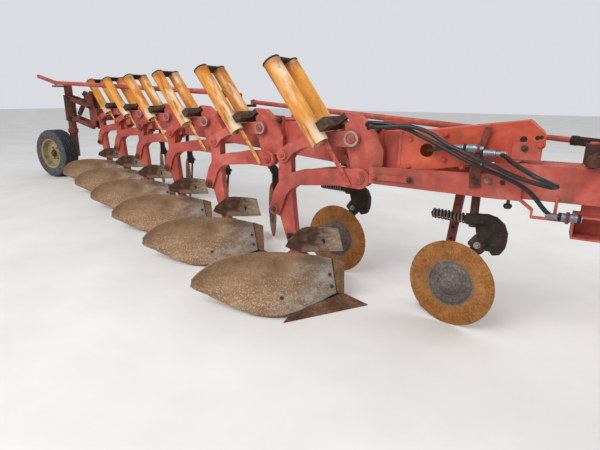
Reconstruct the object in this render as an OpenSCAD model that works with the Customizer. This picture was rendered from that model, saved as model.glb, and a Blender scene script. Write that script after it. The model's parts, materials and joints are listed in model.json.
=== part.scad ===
// Six furrow semi-mounted moldboard plough with spring reset bottoms.
// Millimetres. X points forward, Y to the left, Z up, and the ground is z = 0.
// Plough sizes are counted from the landside line of the front bottom.

/* [Furrows] */
// Width that one bottom cuts
furrow_w = 457; // [430:1:480]
// Distance from one bottom to the next along the travel
spacing = 918; // [890:1:960]

/* [Main beam] */
// Width of the diagonal box beam
beam_w = 200; // [190:1:210]
// Height of the diagonal box beam
beam_h = 230; // [222:1:236]
// Height of the underside of the beam over the ground
beam_z = 875; // [868:1:882]
// Plate thickness of the box beams
beam_wall = 12; // [8:1:16]
// Length of the beam's right face
beam_len = 6350; // [6300:10:6450]
// Sideways place of the beam's right face where it crosses x = 0
beam_face_y = -70; // [-76:1:-66]

/* [Spring reset bottoms] */
// Thickness of the lugs and standards that the side plates straddle
member_t = 56; // [50:1:58]
// Thickness of a side plate of the gooseneck and of the rocker arm
cheek_t = 20; // [14:1:20]
// Clearance between faces that lie against each other
seat = 0.3; // [0.2:0.05:0.6]
// Diameter of the pivot pins
pin_d = 40; // [32:1:44]
// Clearance of a pin in its hole, on the radius
pin_clear = 0.1; // [0.05:0.01:0.1]
// Height of the gooseneck's front pivot
goose_z = 833; // [829:1:837]
// Height of the rocker arm's pivot
rocker_z = 1056; // [1052:1:1060]
// Width of the standard at its top
standard_w = 92; // [84:1:96]

/* [Spring tubes] */
// Outer diameter of a spring tube
tube_d = 106; // [98:1:108]
// Wall of a spring tube
tube_wall = 6; // [4:1:10]
// Length of a spring tube
tube_len = 552; // [530:2:570]
// Distance between the two tubes of a pair
tube_gap = 214; // [212:1:218]
// Lean of the tubes over the horizontal, in degrees
tube_lean = 54; // [52:0.5:56]

/* [Ploughing bodies] */
// Thickness of the moldboard
board_t = 9; // [7:0.5:12]
// Thickness of the landside bar
landside_t = 14; // [10:1:18]
// Height of the landside bar
landside_h = 110; // [90:1:120]

/* [Disc coulters] */
// Diameter of a coulter disc
disc_d = 508; // [460:1:520]
// Thickness of a coulter disc
disc_t = 5; // [4:0.5:8]
// Diameter of the coulter shank
shank_d = 45; // [38:1:50]
// Distance that the disc trails behind its shank
disc_trail = 92; // [80:1:100]
// Height of the disc's axle
disc_z = 254; // [250:1:262]

/* [Front frame] */
// Width of the front box
front_w = 200; // [190:1:210]
// Plate thickness of the front box
front_wall = 12; // [8:1:14]
// Width of the tongue
tongue_w = 200; // [180:1:220]
// Height of the tongue
tongue_h = 170; // [160:1:176]
// Reach of the tongue in front of the landside line's zero
tongue_x = 1700; // [1600:10:1800]

/* [Hitch] */
// Diameter of a lower link pin
hitch_pin_d = 36.6; // [36:0.1:38]
// Length of a lower link pin
hitch_pin_len = 130; // [120:1:150]
// Distance between the shoulders of the lower link pins
hitch_span = 965; // [900:1:1000]
// Height of the lower link pins over the ground
hitch_z = 600; // [560:1:640]

/* [Tail wheel] */
// Outer diameter of the tyre
tyre_d = 742; // [720:1:760]
// Width of the tyre
tyre_w = 255; // [240:1:262]
// Diameter of the rim
rim_d = 470; // [450:1:480]
// Diameter of the turning post
post_d = 120; // [110:1:126]
// Diameter of the rear steering rod
rod_rear_d = 57; // [50:1:60]
// Diameter of the front steering rod
rod_front_d = 45; // [40:1:50]
// Length of the steering arms
steer_arm = 180; // [170:1:190]

/* [Parking stand] */
// Width of the square stand bar
stand_w = 50; // [44:1:56]
// Clearance of the stand bar in its socket
stand_clear = 0.5; // [0.3:0.1:1]
// Diameter of the stand's foot plate
foot_d = 220; // [180:1:260]

/* [Hidden] */
$fn = 48;

paint = [0.72, 0.27, 0.23];
box_paint = [0.74, 0.25, 0.15];
rust = [0.36, 0.22, 0.17];
dark = [0.20, 0.16, 0.15];
ochre = [0.80, 0.52, 0.22];
steel = [0.55, 0.50, 0.45];
silver = [0.72, 0.72, 0.72];
cream = [0.78, 0.72, 0.58];
rubber_grey = [0.16, 0.16, 0.17];
hose_black = [0.08, 0.08, 0.09];

// The six bottoms stand on a diagonal, counted from the front.
BOTTOMS = [0, 1, 2, 3, 4, 5];
// Turn of each coulter about its shank as it was left, in degrees.
COULTER_TURN = [-13, -10, -50, -44, -40, -38];

// The beam leads back and to the left by one furrow in each spacing.
beam_turn = atan(furrow_w / spacing);
beam_top = beam_z + beam_h;
// Middle plane of the gooseneck, standard and rocker arm of a bottom.
mech_y = -55;
cheek_out = member_t / 2 + cheek_t;

// Pivots of a bottom, counted from its own landside line.
goose_x = -207;
rocker_x = -258;
ear_x = -713;
ear_z = 935;
heel_x = -772;
heel_z = 588;
lug_r = 50;

// Spring tubes of a bottom: the middle of the pair's open lower ends.
tube_foot_x = -427;
tube_foot_z = 1028;
// Reach of a pair's crosshead to the bracket's head, in front of the tubes' middle plane.
seat_reach = 187.7;

// Front frame
front_y = 0;
flange_x = 28;
rail_t = 20;
tongue_z = 810;
tongue_x0 = 500;
tongue_top = tongue_z + tongue_h;
king_x = tongue_x + 90;
king_d = 70;

// Tail wheel, counted from the far end of the beam's right face
beam_end = [-beam_len * cos(beam_turn), beam_face_y + beam_len * sin(beam_turn)];
post_x = beam_end[0] - 415.4;
post_y = beam_end[1] - 479.8;
wheel_x = post_x - 150;
wheel_y = post_y - 230;
tyre_r = tyre_d / 2;
link_dx = 480;
link_dz = 125;
link_upper_z = 1228;
link_lower_z = 931;
carrier_pin_x = post_x + 95;
frame_pin_x = carrier_pin_x + link_dx;
tail_pin_d = 30;
tail_pin_reach = 90;
cyl_top = [post_x + 460, 1290];
cyl_low = [post_x + 150, 916.7];
cyl_d = 70;

// Steering: each rod joins two arms that are equal and parallel. The rear rod passes
// between the spring tubes of the fifth bottom.
gate = [-4 * spacing - 681, 4 * furrow_w + mech_y + 8];
gate_far = norm([gate[0] - post_x, gate[1] - post_y]);
rear_turn = -atan2(gate[1] - post_y, gate[0] - post_x) - asin(steer_arm / gate_far);
rear_rod_len = 3900;
rear_arm = [-steer_arm * sin(rear_turn), -steer_arm * cos(rear_turn), 0];
tail_eye_z = 1460;
bend_collar = 12;
bend_collar_d = rod_rear_d + 9;
idler_x = post_x + rear_rod_len * cos(rear_turn);
idler_y = post_y - rear_rod_len * sin(rear_turn);
rod_rear_z = 1316;
rod_front_z = 1222;
crank_x = 910;
crank_y = 0;
crank_z = 1070;
front_turn = atan2(idler_y - crank_y, crank_x - idler_x);
front_arm = [steer_arm * sin(front_turn), steer_arm * cos(front_turn), 0];
tail_eye = [post_x, post_y, tail_eye_z] + rear_arm;
idler_rear = [idler_x, idler_y, rod_rear_z] + rear_arm;
idler_front = [idler_x, idler_y, rod_front_z] + front_arm;
crank_eye = [crank_x, crank_y, crank_z] + front_arm;
eye_d = 70;
eye_h = 45;
eye_pin_d = 24;
swivel_h = 46;
arm_t = 26;
lever_pin_d = 40;
drag_arm = 120;
drag_z = tongue_top + 8;
drag_t = 22;
drag_pin_d = 20;

// Parking stand: a bar that leans back beside the front box.
stand_x = 236;
stand_y = 238;
stand_lean = 5.6;

// Middle of the whole plough on the ground, from its outermost pieces.
reach_front = king_x + 210;
reach_rear = post_x - 620;
reach_left = beam_end[1] + beam_w * cos(beam_turn);
reach_right = front_y - hitch_span / 2 - hitch_pin_len;
origin_x = (reach_front + reach_rear) / 2;
origin_y = (reach_left + reach_right) / 2;

// Places its children in the frame whose ground point is the middle of the plough.
module placed() translate([-origin_x, -origin_y, 0]) children();

// Repeats its children at every bottom.
module at_bottoms()
    for (i = BOTTOMS)
        translate([-i * spacing, i * furrow_w, 0])
            children();

// Beam frame: X back along the beam, Y out of its right face, origin on that face.
module beam_frame() translate([0, beam_face_y, 0]) rotate([0, 0, 180 - beam_turn]) children();

// Plate with an outline in X and Z, from y0 to y1.
module slab(y0, y1)
    translate([0, y1, 0])
        rotate([90, 0, 0])
            linear_extrude(height = y1 - y0)
                children();

// Round bar along Y.
module cross_bar(x, y0, y1, z, d)
    translate([x, y0, z])
        rotate([-90, 0, 0])
            cylinder(h = y1 - y0, d = d);

// Round bar from one point to another.
module rod_between(p, q, d) {
    v = q - p;
    len = norm(v);
    translate(p)
        rotate([0, acos(v[2] / len), atan2(v[1], v[0])])
            cylinder(h = len, d = d);
}

// Flat bar from one point to another, w wide in its own plane and t thick along Y.
module flat_between(p, q, w, t) {
    v = q - p;
    len = norm(v);
    translate(p)
        rotate([0, acos(v[2] / len), atan2(v[1], v[0])])
            translate([-w / 2, -t / 2, 0])
                cube([w, t, len]);
}

// Frame of a spring tube pair: X up along the tubes, Z behind and below them.
module tube_frame() translate([tube_foot_x, 0, tube_foot_z]) rotate([0, tube_lean - 180, 0]) children();

// Main beam
module main_beam() {
    color(paint) placed() {
        difference() {
            beam_frame()
                difference() {
                    translate([-200, -beam_w, beam_z])
                        cube([beam_len + 200, beam_w, beam_h]);
                    translate([-210, -beam_w + beam_wall, beam_z + beam_wall])
                        cube([beam_len + 210 - beam_wall, beam_w - 2 * beam_wall, beam_h - 2 * beam_wall]);
                }
            translate([flange_x, -1000, 0])
                cube([2000, 2000, 2000]);
        }
        beam_flange();
        idler_stand();
    }
}

// End plate that closes the beam's slanted front end.
module beam_flange() {
    y0 = front_y - front_w / 2 + seat;
    translate([flange_x - 14, y0, beam_z - 30])
        cube([14, 146 - y0, beam_h + 52]);
}

// Bracket on the beam's left side that carries the steering idler.
module idler_stand() {
    reach = (idler_y - beam_face_y + idler_x * tan(beam_turn)) * cos(beam_turn) - beam_w;
    beam_x = -idler_x * cos(beam_turn) + (idler_y - beam_face_y) * sin(beam_turn);
    beam_frame() {
        translate([beam_x - 50, -beam_w - reach, beam_top - 60])
            cube([100, reach + 20, 60]);
        translate([beam_x, -beam_w - reach, beam_top - 60])
            cylinder(h = 60, d = 110);
    }
    translate([idler_x, idler_y, beam_top - 1])
        cylinder(h = rod_front_z - eye_h / 2 - 5 - arm_t - seat - beam_top + 1, d = eye_d);
    translate([idler_x, idler_y, beam_top - 1])
        cylinder(h = rod_rear_z - beam_top + 1, d = lever_pin_d);
    translate([idler_x, idler_y, rod_rear_z - 8])
        cylinder(h = 8, d = lever_pin_d + 16);
}

// Front box: two tall side plates with a top plate between them.
module front_outline()
    polygon([
        [flange_x + seat, 1106], [154, 1119], [633, 1184], [702, 1126], [711, 1065],
        [600, tongue_top + seat], [tongue_x0 - seat, tongue_top + seat], [142, 905],
        [flange_x + seat, 873]
    ]);

module front_box() {
    y0 = front_y - front_w / 2;
    y1 = front_y + front_w / 2;
    color(box_paint) placed() {
        difference() {
            slab(y0, y1) front_outline();
            slab(y0 + front_wall, y1 - front_wall)
                polygon([
                    [0, 800], [0, 1094], [154, 1107], [620, 1170], [688, 1115],
                    [699, 1070], [583, 1006], [583, 800]
                ]);
            cross_bar(165, y0 - 10, y0 + front_wall + 10, 1017, 70);
        }
    }
}

// Side rails on both sides of the front box and tongue. The right one runs back past
// the flange and has the strap that bends down under the couplers.
module side_rail() {
    y_right = front_y - front_w / 2 - rail_t;
    y_left = front_y + front_w / 2;
    color(paint) placed() {
        slab(y_right, y_right + rail_t)
            polygon([
                [-140, 815], [500, 801], [632, 802], [688, 760], [690, 723], [860, 723],
                [860, 735], [700, 735], [700, 770], [640, 815], [640, 925], [350, 918],
                [-140, 910]
            ]);
        slab(y_left, y_left + rail_t)
            polygon([
                [flange_x + seat, 815], [640, 815], [640, 925], [350, 918], [flange_x + seat, 912]
            ]);
    }
}

// Tongue: the big box forward to the hitch, with the channel below it.
module tongue() {
    y0 = front_y - tongue_w / 2 + seat;
    w = tongue_w - 2 * seat;
    lug = 30;
    color(paint) placed() {
        difference() {
            union() {
                difference() {
                    translate([tongue_x0, y0, tongue_z])
                        cube([tongue_x - tongue_x0, w, tongue_h]);
                    translate([tongue_x0 - 1, y0 + front_wall, tongue_z + front_wall])
                        cube([
                            tongue_x - tongue_x0 - front_wall, w - 2 * front_wall,
                            tongue_h - 2 * front_wall
                        ]);
                }
                for (z = [tongue_z, tongue_top - lug]) {
                    translate([tongue_x - 1, y0 + 20, z])
                        cube([king_x - tongue_x + 1, w - 40, lug]);
                    translate([king_x, front_y, z])
                        cylinder(h = lug, d = tongue_w - 40);
                }
                lower_channel();
                translate([crank_x, crank_y, tongue_top - 1])
                    cylinder(h = drag_z - tongue_top + 1 - seat, d = 86);
                translate([crank_x, crank_y, tongue_top - 1])
                    cylinder(h = crank_z + 22 - tongue_top + 1, d = lever_pin_d);
            }
            translate([king_x, front_y, 500])
                cylinder(h = 700, d = king_d + 2 * pin_clear);
        }
    }
}

// Channel under the tongue, open to the right, with hangers up to the tongue.
module lower_channel() {
    z0 = 640;
    h = 114;
    y0 = front_y - tongue_w / 2 + 6;
    difference() {
        translate([872, y0, z0])
            cube([tongue_x - 872, 130, h]);
        translate([880, y0 - 1, z0 + 10])
            cube([tongue_x - 888, 121, h - 20]);
    }
    for (x = [900, tongue_x - 120])
        translate([x, front_y - 40, z0 + h - 1])
            cube([100, 20, tongue_z - z0 - h + 2]);
}

// Bracket of each bottom: base plate on the beam, wedge block and pivot lug.
module bracket_outline()
    polygon([[-78, 873], [-151, 866], [-188, 955], [-236, 1079], [-150, 1126], [-75, 1003]]);

module unit_brackets() {
    color(paint) placed() at_bottoms() {
        difference() {
            union() {
                slab(mech_y - member_t / 2, 260) bracket_outline();
                slab(mech_y - member_t / 2, mech_y + member_t / 2) lug_outline();
            }
            beam_frame()
                translate([-1000, -1000, 0])
                    cube([2000, 1000 + seat, 2000]);
            cross_bar(goose_x, -300, 200, goose_z, pin_d + 2 * pin_clear);
            cross_bar(rocker_x, -300, 200, rocker_z, pin_d + 2 * pin_clear);
            // Room for the left cheeks of the gooseneck and rocker arm and their pin heads.
            slab(mech_y + member_t / 2, mech_y + cheek_out + 20)
                cheek_room();
            // Seat of the spring tubes' crosshead on the head of the lug.
            tube_frame()
                translate([20, mech_y - 100, -seat_reach - seat])
                    cube([200, 200, 400]);
        }
        difference() {
            clamp_set();
            slab(mech_y + member_t / 2, mech_y + cheek_out + 20)
                cheek_room();
        }
    }
}

module cheek_room() {
    translate([goose_x, goose_z]) circle(r = 67);
    translate([rocker_x, rocker_z]) circle(r = 53);
}

module lug_outline() {
    translate([goose_x, goose_z]) circle(r = lug_r);
    translate([rocker_x, rocker_z]) circle(r = lug_r);
    polygon([
        [goose_x - 49, goose_z + 10], [goose_x - 10, goose_z - 49], [-151, 866], [-78, 873],
        [-75, 1003], [-150, 1126], [-232, 1191], [-319, 1199], [rocker_x - 49, rocker_z + 10],
        [rocker_x - 49, rocker_z - 10]
    ]);
}

// Base plate, back plate and the four rods that clamp a bracket round the beam.
module clamp_set() {
    x0 = 104;
    len = 215;
    rod = 24;
    lip = 42;
    beam_frame() {
        translate([x0, seat, beam_z - lip])
            cube([len, 20, beam_h + 2 * lip]);
        translate([x0, -beam_w - seat - 20, beam_z - lip])
            cube([len, 20, beam_h + 2 * lip]);
        for (x = [x0 + 24, x0 + len - 24], z = [beam_z - seat - rod / 2, beam_top + seat + rod / 2])
            translate([x, -beam_w - 45, z])
                rotate([-90, 0, 0])
                    cylinder(h = beam_w + 90, d = rod);
    }
}

// Pin through both cheeks of a bottom with a washer and a head on each side.
module pivot_pin(p, washer) {
    half = cheek_out + seat;
    cross_bar(p[0], mech_y - half - 16, mech_y + half + 16, p[1], pin_d);
    for (s = [-1, 1], w = [[4, 8, washer], [10, 12, pin_d + 18]])
        translate([p[0], mech_y + s * (half + w[0]), p[1]])
            rotate([90, 0, 0])
                cylinder(h = w[1], d = w[2], center = true);
}

// Pivots of each bottom: the gooseneck's, the rocker arm's with its wide ring, the ear's.
module pivot_pins() {
    color(paint) placed() at_bottoms()
        for (p = [[goose_x, goose_z, 70], [rocker_x, rocker_z, 94], [ear_x, ear_z, 66]])
            pivot_pin(p, p[2]);
}

// Bolt of each bottom through the gooseneck and the standard's heel
module heel_bolts() {
    color(dark) placed() at_bottoms() pivot_pin([heel_x, heel_z], 66);
}

// Gooseneck outline: a straight bar, a bend and a leg down to the heel bolt.
bend_x = -560;
bend_z = 612;
bend_out = 236;
bend_in = 147;

module goose_outline() {
    translate([goose_x, goose_z]) circle(r = 62);
    translate([heel_x, heel_z]) circle(r = 44);
    polygon([
        [goose_x - 12, goose_z - 60], [-351, 779], [bend_x, bend_z + bend_in],
        [bend_x, bend_z + bend_out], [-436, 872], [goose_x + 17, goose_z + 59], [goose_x, goose_z]
    ]);
    intersection() {
        translate([bend_x, bend_z]) difference() {
            circle(r = bend_out, $fn = 96);
            circle(r = bend_in, $fn = 96);
        }
        translate([bend_x, bend_z]) polygon([[0, 0], [1, 300], [-300, 300], [-300, 46]]);
    }
    polygon([
        [bend_x - 233, bend_z + 38], [bend_x - 145, bend_z + 28], [heel_x + 43, heel_z - 9],
        [heel_x, heel_z], [heel_x - 42, heel_z + 12]
    ]);
}

module goosenecks() {
    color(paint) placed() at_bottoms()
        difference() {
            slab(mech_y - cheek_out, mech_y + cheek_out) goose_outline();
            slab(mech_y - member_t / 2 - seat, mech_y + member_t / 2 + seat) {
                polygon([[-275, 700], [0, 700], [0, 1000], [-275, 1000]]);
                polygon([[-655, 400], [-655, 860], [-950, 860], [-950, 400]]);
            }
            for (p = [[goose_x, goose_z], [heel_x, heel_z]])
                cross_bar(p[0], -300, 200, p[1], pin_d + 2 * pin_clear);
        }
}

// Standard: the leg that carries a bottom, with an ear at its top and its heel.
module standard_outline() {
    x0 = -664 - standard_w;
    translate([ear_x, ear_z]) circle(r = 44);
    translate([heel_x, heel_z]) circle(r = 44);
    polygon([
        [x0, ear_z], [x0, 569], [-672, 313], [-672, 292], [-603, 292], [-609, 329],
        [-633, 470], [-658, 700], [-664, 890], [ear_x + 44, ear_z]
    ]);
    polygon([[heel_x, heel_z + 44], [x0 + 8, 660], [x0 + 20, 530], [heel_x, heel_z - 44]]);
}

module standards() {
    color(paint) placed() at_bottoms()
        difference() {
            slab(mech_y - member_t / 2, mech_y + member_t / 2) standard_outline();
            for (p = [[ear_x, ear_z], [heel_x, heel_z]])
                cross_bar(p[0], -300, 200, p[1], pin_d + 2 * pin_clear);
        }
}

// Rocker arm: two arched plates from the upper pivot back to the standard's ear.
module rocker_outline() {
    translate([rocker_x, rocker_z]) circle(r = 48);
    translate([ear_x, ear_z]) circle(r = 46);
    polygon([
        [rocker_x, rocker_z + 48], [-497, 1078], [-586, 1048], [-680, 1005], [-746, 960],
        [ear_x - 20, ear_z], [ear_x + 42, ear_z - 18], [-640, 952], [-578, 985], [-480, 1005],
        [rocker_x, rocker_z - 48]
    ]);
}

module rocker_arms() {
    color(paint) placed() at_bottoms()
        difference() {
            union() {
                for (s = [-1, 1])
                    translate([0, s * (member_t / 2 + seat + cheek_t / 2), 0])
                        slab(mech_y - cheek_t / 2, mech_y + cheek_t / 2) rocker_outline();
                slab(mech_y - member_t / 2 - seat - 1, mech_y + member_t / 2 + seat + 1)
                    polygon([[-490, 1010], [-575, 995], [-590, 1040], [-500, 1068]]);
            }
            for (p = [[rocker_x, rocker_z], [ear_x, ear_z]])
                cross_bar(p[0], -300, 200, p[1], pin_d + 2 * pin_clear);
        }
}

// Spring tubes, open below
module spring_tubes() {
    color(ochre) placed() at_bottoms() tube_frame()
        for (s = [-1, 1])
            translate([0, mech_y + s * tube_gap / 2, 0])
                rotate([0, 90, 0])
                    difference() {
                        cylinder(h = tube_len, d = tube_d);
                        translate([0, 0, -1])
                            cylinder(h = tube_len + 2, d = tube_d - 2 * tube_wall);
                    }
}

// Caps on the tubes' upper ends, joined by a plate
module tube_caps() {
    cap_t = 10;
    color(rust) placed() at_bottoms() tube_frame() {
        for (s = [-1, 1])
            translate([tube_len + seat, mech_y + s * tube_gap / 2, 0])
                rotate([0, 90, 0])
                    cylinder(h = cap_t, d = tube_d + 6);
        translate([tube_len + seat, mech_y - tube_gap / 2, -34])
            cube([cap_t + 8, tube_gap, 68]);
    }
}

// Crosshead that carries a pair of tubes on the bracket's head.
module spring_seats() {
    x0 = 42;
    thick = 62;
    near = tube_d / 2 + seat;
    color(rust) placed() at_bottoms() tube_frame() {
        translate([x0, mech_y - tube_gap / 2 - 45, -near - thick])
            cube([58, tube_gap + 90, thick]);
        translate([x0, mech_y - member_t / 2 + 3, -seat_reach])
            cube([33, member_t - 6, seat_reach - near - 1]);
    }
}

// Flat rods from the springs down to the sides of the gooseneck
module reset_rods() {
    side = cheek_out + 7;
    color(ochre) placed() at_bottoms()
        for (s = [-1, 1])
            flat_between([-258, mech_y + s * side, 785], [-425, mech_y + s * (tube_gap / 2 - 10), 1075], 26, 8);
}

// Frog: the casting that joins standard, moldboard, share and landside
module frogs() {
    color(rust) placed() at_bottoms()
        slab(mech_y - member_t / 2, -seat)
            polygon([
                [-700, 292 - seat], [-590, 292 - seat], [-463, 220], [-450.7, 190], [-436.2, 160],
                [-421.2, 130], [-407.2, 100], [-410, 60], [-670, 60], [-730, 150]
            ]);
}

// Moldboard table: bottom edge X, Y, Z, top edge X, Y, Z and belly of each station.
BOARD = [
    [-352, -24, 58, -398, -22, 284, 0],
    [-415, -190, 42, -495, -100, 315, 30],
    [-510, -400, 30, -600, -160, 330, 52],
    [-664, -470, 20, -690, -230, 340, 60],
    [-782, -481, 30, -790, -315, 344, 50],
    [-958, -487, 52, -900, -420, 330, 36],
    [-1056, -500, 80, -985, -495, 292, 22],
    [-1110, -527, 105, -1060, -540, 228, 10],
    [-1133, -540, 128, -1112, -549, 172, 3]
];
board_steps = 2;
board_rows = 6;

// Cover board table, in the same form.
COVER = [
    [-318, -22, 352, -360, -20, 490, 0],
    [-420, -130, 362, -440, -90, 505, 25],
    [-500, -250, 385, -520, -190, 512, 30],
    [-570, -315, 425, -555, -300, 455, 6]
];
cover_t = 7;

// Smooth curve through the stations of table T, at column c.
function board_at(T, u, c) =
    let (n = len(T) - 1, i = min(floor(u), n - 1), t = u - i,
        p0 = T[max(i - 1, 0)][c], p1 = T[i][c],
        p2 = T[i + 1][c], p3 = T[min(i + 2, n)][c])
    0.5 * (2 * p1 + (p2 - p0) * t + (2 * p0 - 5 * p1 + 4 * p2 - p3) * t * t
        + (3 * p1 - p0 - 3 * p2 + p3) * t * t * t);

// Point of the face at station u and height v from 0 to 1.
function board_point(T, u, v) =
    let (b = [for (c = [0:2]) board_at(T, u, c)], t = [for (c = [3:5]) board_at(T, u, c)],
        rise = t - b, out = [0, rise[2], -rise[1]] / norm([0, rise[2], rise[1]]))
    b + rise * v + out * board_at(T, u, 6) * 4 * v * (1 - v);

function board_normal(T, u, v) =
    let (e = 0.02, du = board_point(T, u + e, v) - board_point(T, u - e, v),
        dv = board_point(T, u, v + e) - board_point(T, u, v - e), n = cross(dv, du))
    n / norm(n);

// Curved plate through the stations of table T, with its thickness behind its face.
module curved_plate(T, thick, rows) {
    last = (len(T) - 1) * board_steps;
    edge = last / board_steps - 0.05;
    face = [for (i = [0:last], j = [0:rows]) board_point(T, i / board_steps, j / rows)];
    back = [for (i = [0:last], j = [0:rows])
        board_point(T, i / board_steps, j / rows)
            - thick * board_normal(T, min(max(i / board_steps, 0.05), edge), j / rows)];
    n = len(face);
    w = rows + 1;
    quads = [for (i = [0:last - 1], j = [0:rows - 1]) [i * w + j, i * w + j + 1, (i + 1) * w + j + 1, (i + 1) * w + j]];
    front_faces = [for (q = quads) each [[q[0], q[1], q[2]], [q[0], q[2], q[3]]]];
    back_faces = [for (q = quads) each [[n + q[0], n + q[2], n + q[1]], [n + q[0], n + q[3], n + q[2]]]];
    lower = [for (i = [0:last - 1]) each [[i * w, (i + 1) * w, n + i * w], [(i + 1) * w, n + (i + 1) * w, n + i * w]]];
    upper = [for (i = [0:last - 1]) let (a = i * w + rows, b = a + w) each [[a, n + a, b], [b, n + a, n + b]]];
    first = [for (j = [0:rows - 1]) each [[j, n + j, j + 1], [j + 1, n + j, n + j + 1]]];
    tail = [for (j = [0:rows - 1]) let (a = last * w + j) each [[a, a + 1, n + a], [a + 1, n + a + 1, n + a]]];
    polyhedron(points = concat(face, back),
        faces = [for (f = concat(front_faces, back_faces, lower, upper, first, tail)) [f[2], f[1], f[0]]]);
}

module moldboards() {
    color(steel) placed() at_bottoms() curved_plate(BOARD, board_t, board_rows);
}

// Solid between two quadrilaterals with their corners in the same order.
module block_between(a, b) {
    polyhedron(points = concat(a, b),
        faces = [[0, 1, 2], [0, 2, 3], [6, 5, 4], [7, 6, 4],
            [0, 4, 1], [1, 4, 5], [1, 5, 2], [2, 5, 6], [2, 6, 3], [3, 6, 7], [3, 7, 0], [0, 7, 4]]);
}

// Shin: the narrow wearing strip in front of the moldboard
module shins() {
    back = [4, 11, 0];
    face = [[-318, -2, 51], [-324, -2, 262], [-397.2, -21.2, 282], [-351.2, -23.2, 60]];
    color(steel) placed() at_bottoms()
        block_between([for (p = face) p + back], face);
}

// Share: the cutting blade from the point out to the wing
module shares() {
    top = [[-150, 14, 8], [-322, 10, 52], [-496, -402, 28], [-500, -456, 8]];
    low = [[-150, 14, 0], [-322, 10, 40], [-490, -402, 16], [-500, -456, 0]];
    color(rust) placed() at_bottoms() block_between(low, top);
}

// Landside: the bar that runs along the furrow wall
module landsides() {
    color(rust) placed() at_bottoms()
        slab(0, landside_t)
            polygon([
                [-327, 0], [-327, 48], [-363, landside_h], [-820, landside_h - 20],
                [-820, 0]
            ]);
}

// Cover board: the small curved board over the front of each moldboard, on a flat arm
module cover_boards() {
    near = mech_y - member_t / 2 - seat;
    color(rust) placed() at_bottoms() {
        curved_plate(COVER, cover_t, 4);
        translate([0, 0, 395])
            linear_extrude(height = 35)
                polygon([[-690, near], [-690, near - 10], [-431, near - 10], [-418, near]]);
    }
}

// Coulter clamp: a shank held in a block, between the side rails or under the beam
module coulter_clamps() {
    block_y = front_w / 2 - seat;
    color(rust) placed() {
        translate([coulter_x - 45, front_y - block_y, 822])
            cube([90, 2 * block_y, 96]);
        for (i = BOTTOMS)
            translate([-i * spacing, i * furrow_w, 0]) {
                translate([coulter_x, coulter_y, 614])
                    cylinder(h = 900 - 614, d = shank_d);
                if (i > 0)
                    coulter_foot();
            }
    }
}

// Foot that carries a shank on the left face of the beam.
module coulter_foot() {
    half = 55;
    difference() {
        translate([coulter_x - half, coulter_y - half - 60, beam_z - 60])
            cube([2 * half, 2 * half + 60, 200]);
        beam_frame()
            translate([-2000, -beam_w - seat, 0])
                cube([4000, 2000, 2000]);
    }
}

coulter_x = 423;
coulter_y = 0;
coulter_axle_d = 25;
coulter_arm_y = 42;

// Coulter arm: swivel collar, forward bend, one arm down to the hub and the
// cushion spring behind it
module coulter_arm(i) {
    color(dark) placed()
        translate([-i * spacing + coulter_x, i * furrow_w + coulter_y, 0])
            rotate([0, 0, COULTER_TURN[i]]) {
                difference() {
                    union() {
                        translate([0, 0, 616]) cylinder(h = 100, d = shank_d + 36);
                        slab(-22, 22)
                            polygon([
                                [0, 620], [0, 700], [90, 700], [150, 670], [175, 610], [160, 540],
                                [150, 500], [100, 500], [110, 570], [110, 610], [90, 635]
                            ]);
                        translate([60, -22, 500])
                            cube([94, coulter_arm_y + 29, 46]);
                        translate([0, coulter_arm_y, 0])
                            slab(-7, 7) {
                                polygon([
                                    [60, 500], [154, 500], [154, 546], [60, 546],
                                    [-disc_trail - 24, disc_z], [-disc_trail + 24, disc_z]
                                ]);
                                translate([-disc_trail, disc_z]) circle(r = 30);
                            }
                    }
                    translate([0, 0, 590]) cylinder(h = 200, d = shank_d + 2 * pin_clear);
                    cross_bar(-disc_trail, -80, 80, disc_z, coulter_axle_d + 2 * pin_clear);
                }
                translate([-230, 0, 652]) rotate([0, 90, 0]) cylinder(h = 192, d = 54);
            }
}

module coulter_arm_1() coulter_arm(0);
module coulter_arm_2() coulter_arm(1);
module coulter_arm_3() coulter_arm(2);
module coulter_arm_4() coulter_arm(3);
module coulter_arm_5() coulter_arm(4);
module coulter_arm_6() coulter_arm(5);

// Coulter disc with its hub and axle
module coulter_disc(i) {
    axle_r = coulter_axle_d / 2;
    hub_r = 62;
    color(rust) placed()
        translate([-i * spacing + coulter_x, i * furrow_w + coulter_y, 0])
            rotate([0, 0, COULTER_TURN[i]])
                translate([-disc_trail, 0, disc_z])
                    rotate([-90, 0, 0])
                        rotate_extrude($fn = 96)
                            polygon([
                                [0, -34], [28, -34], [36, -26], [50, -24], [hub_r, -12],
                                [hub_r, -disc_t / 2], [disc_d / 2 - 20, -disc_t / 2],
                                [disc_d / 2, -0.5], [disc_d / 2, 0.5],
                                [disc_d / 2 - 20, disc_t / 2], [hub_r, disc_t / 2],
                                [hub_r, 12], [50, 28], [axle_r, 28], [axle_r, 56], [0, 56]
                            ]);
}

module coulter_disc_1() coulter_disc(0);
module coulter_disc_2() coulter_disc(1);
module coulter_disc_3() coulter_disc(2);
module coulter_disc_4() coulter_disc(3);
module coulter_disc_5() coulter_disc(4);
module coulter_disc_6() coulter_disc(5);

// Tail: side by side places of the plates, counted from the middle plane of the links.
plate_in = 42;
plate_out = 60;
link_t = 15;

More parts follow.
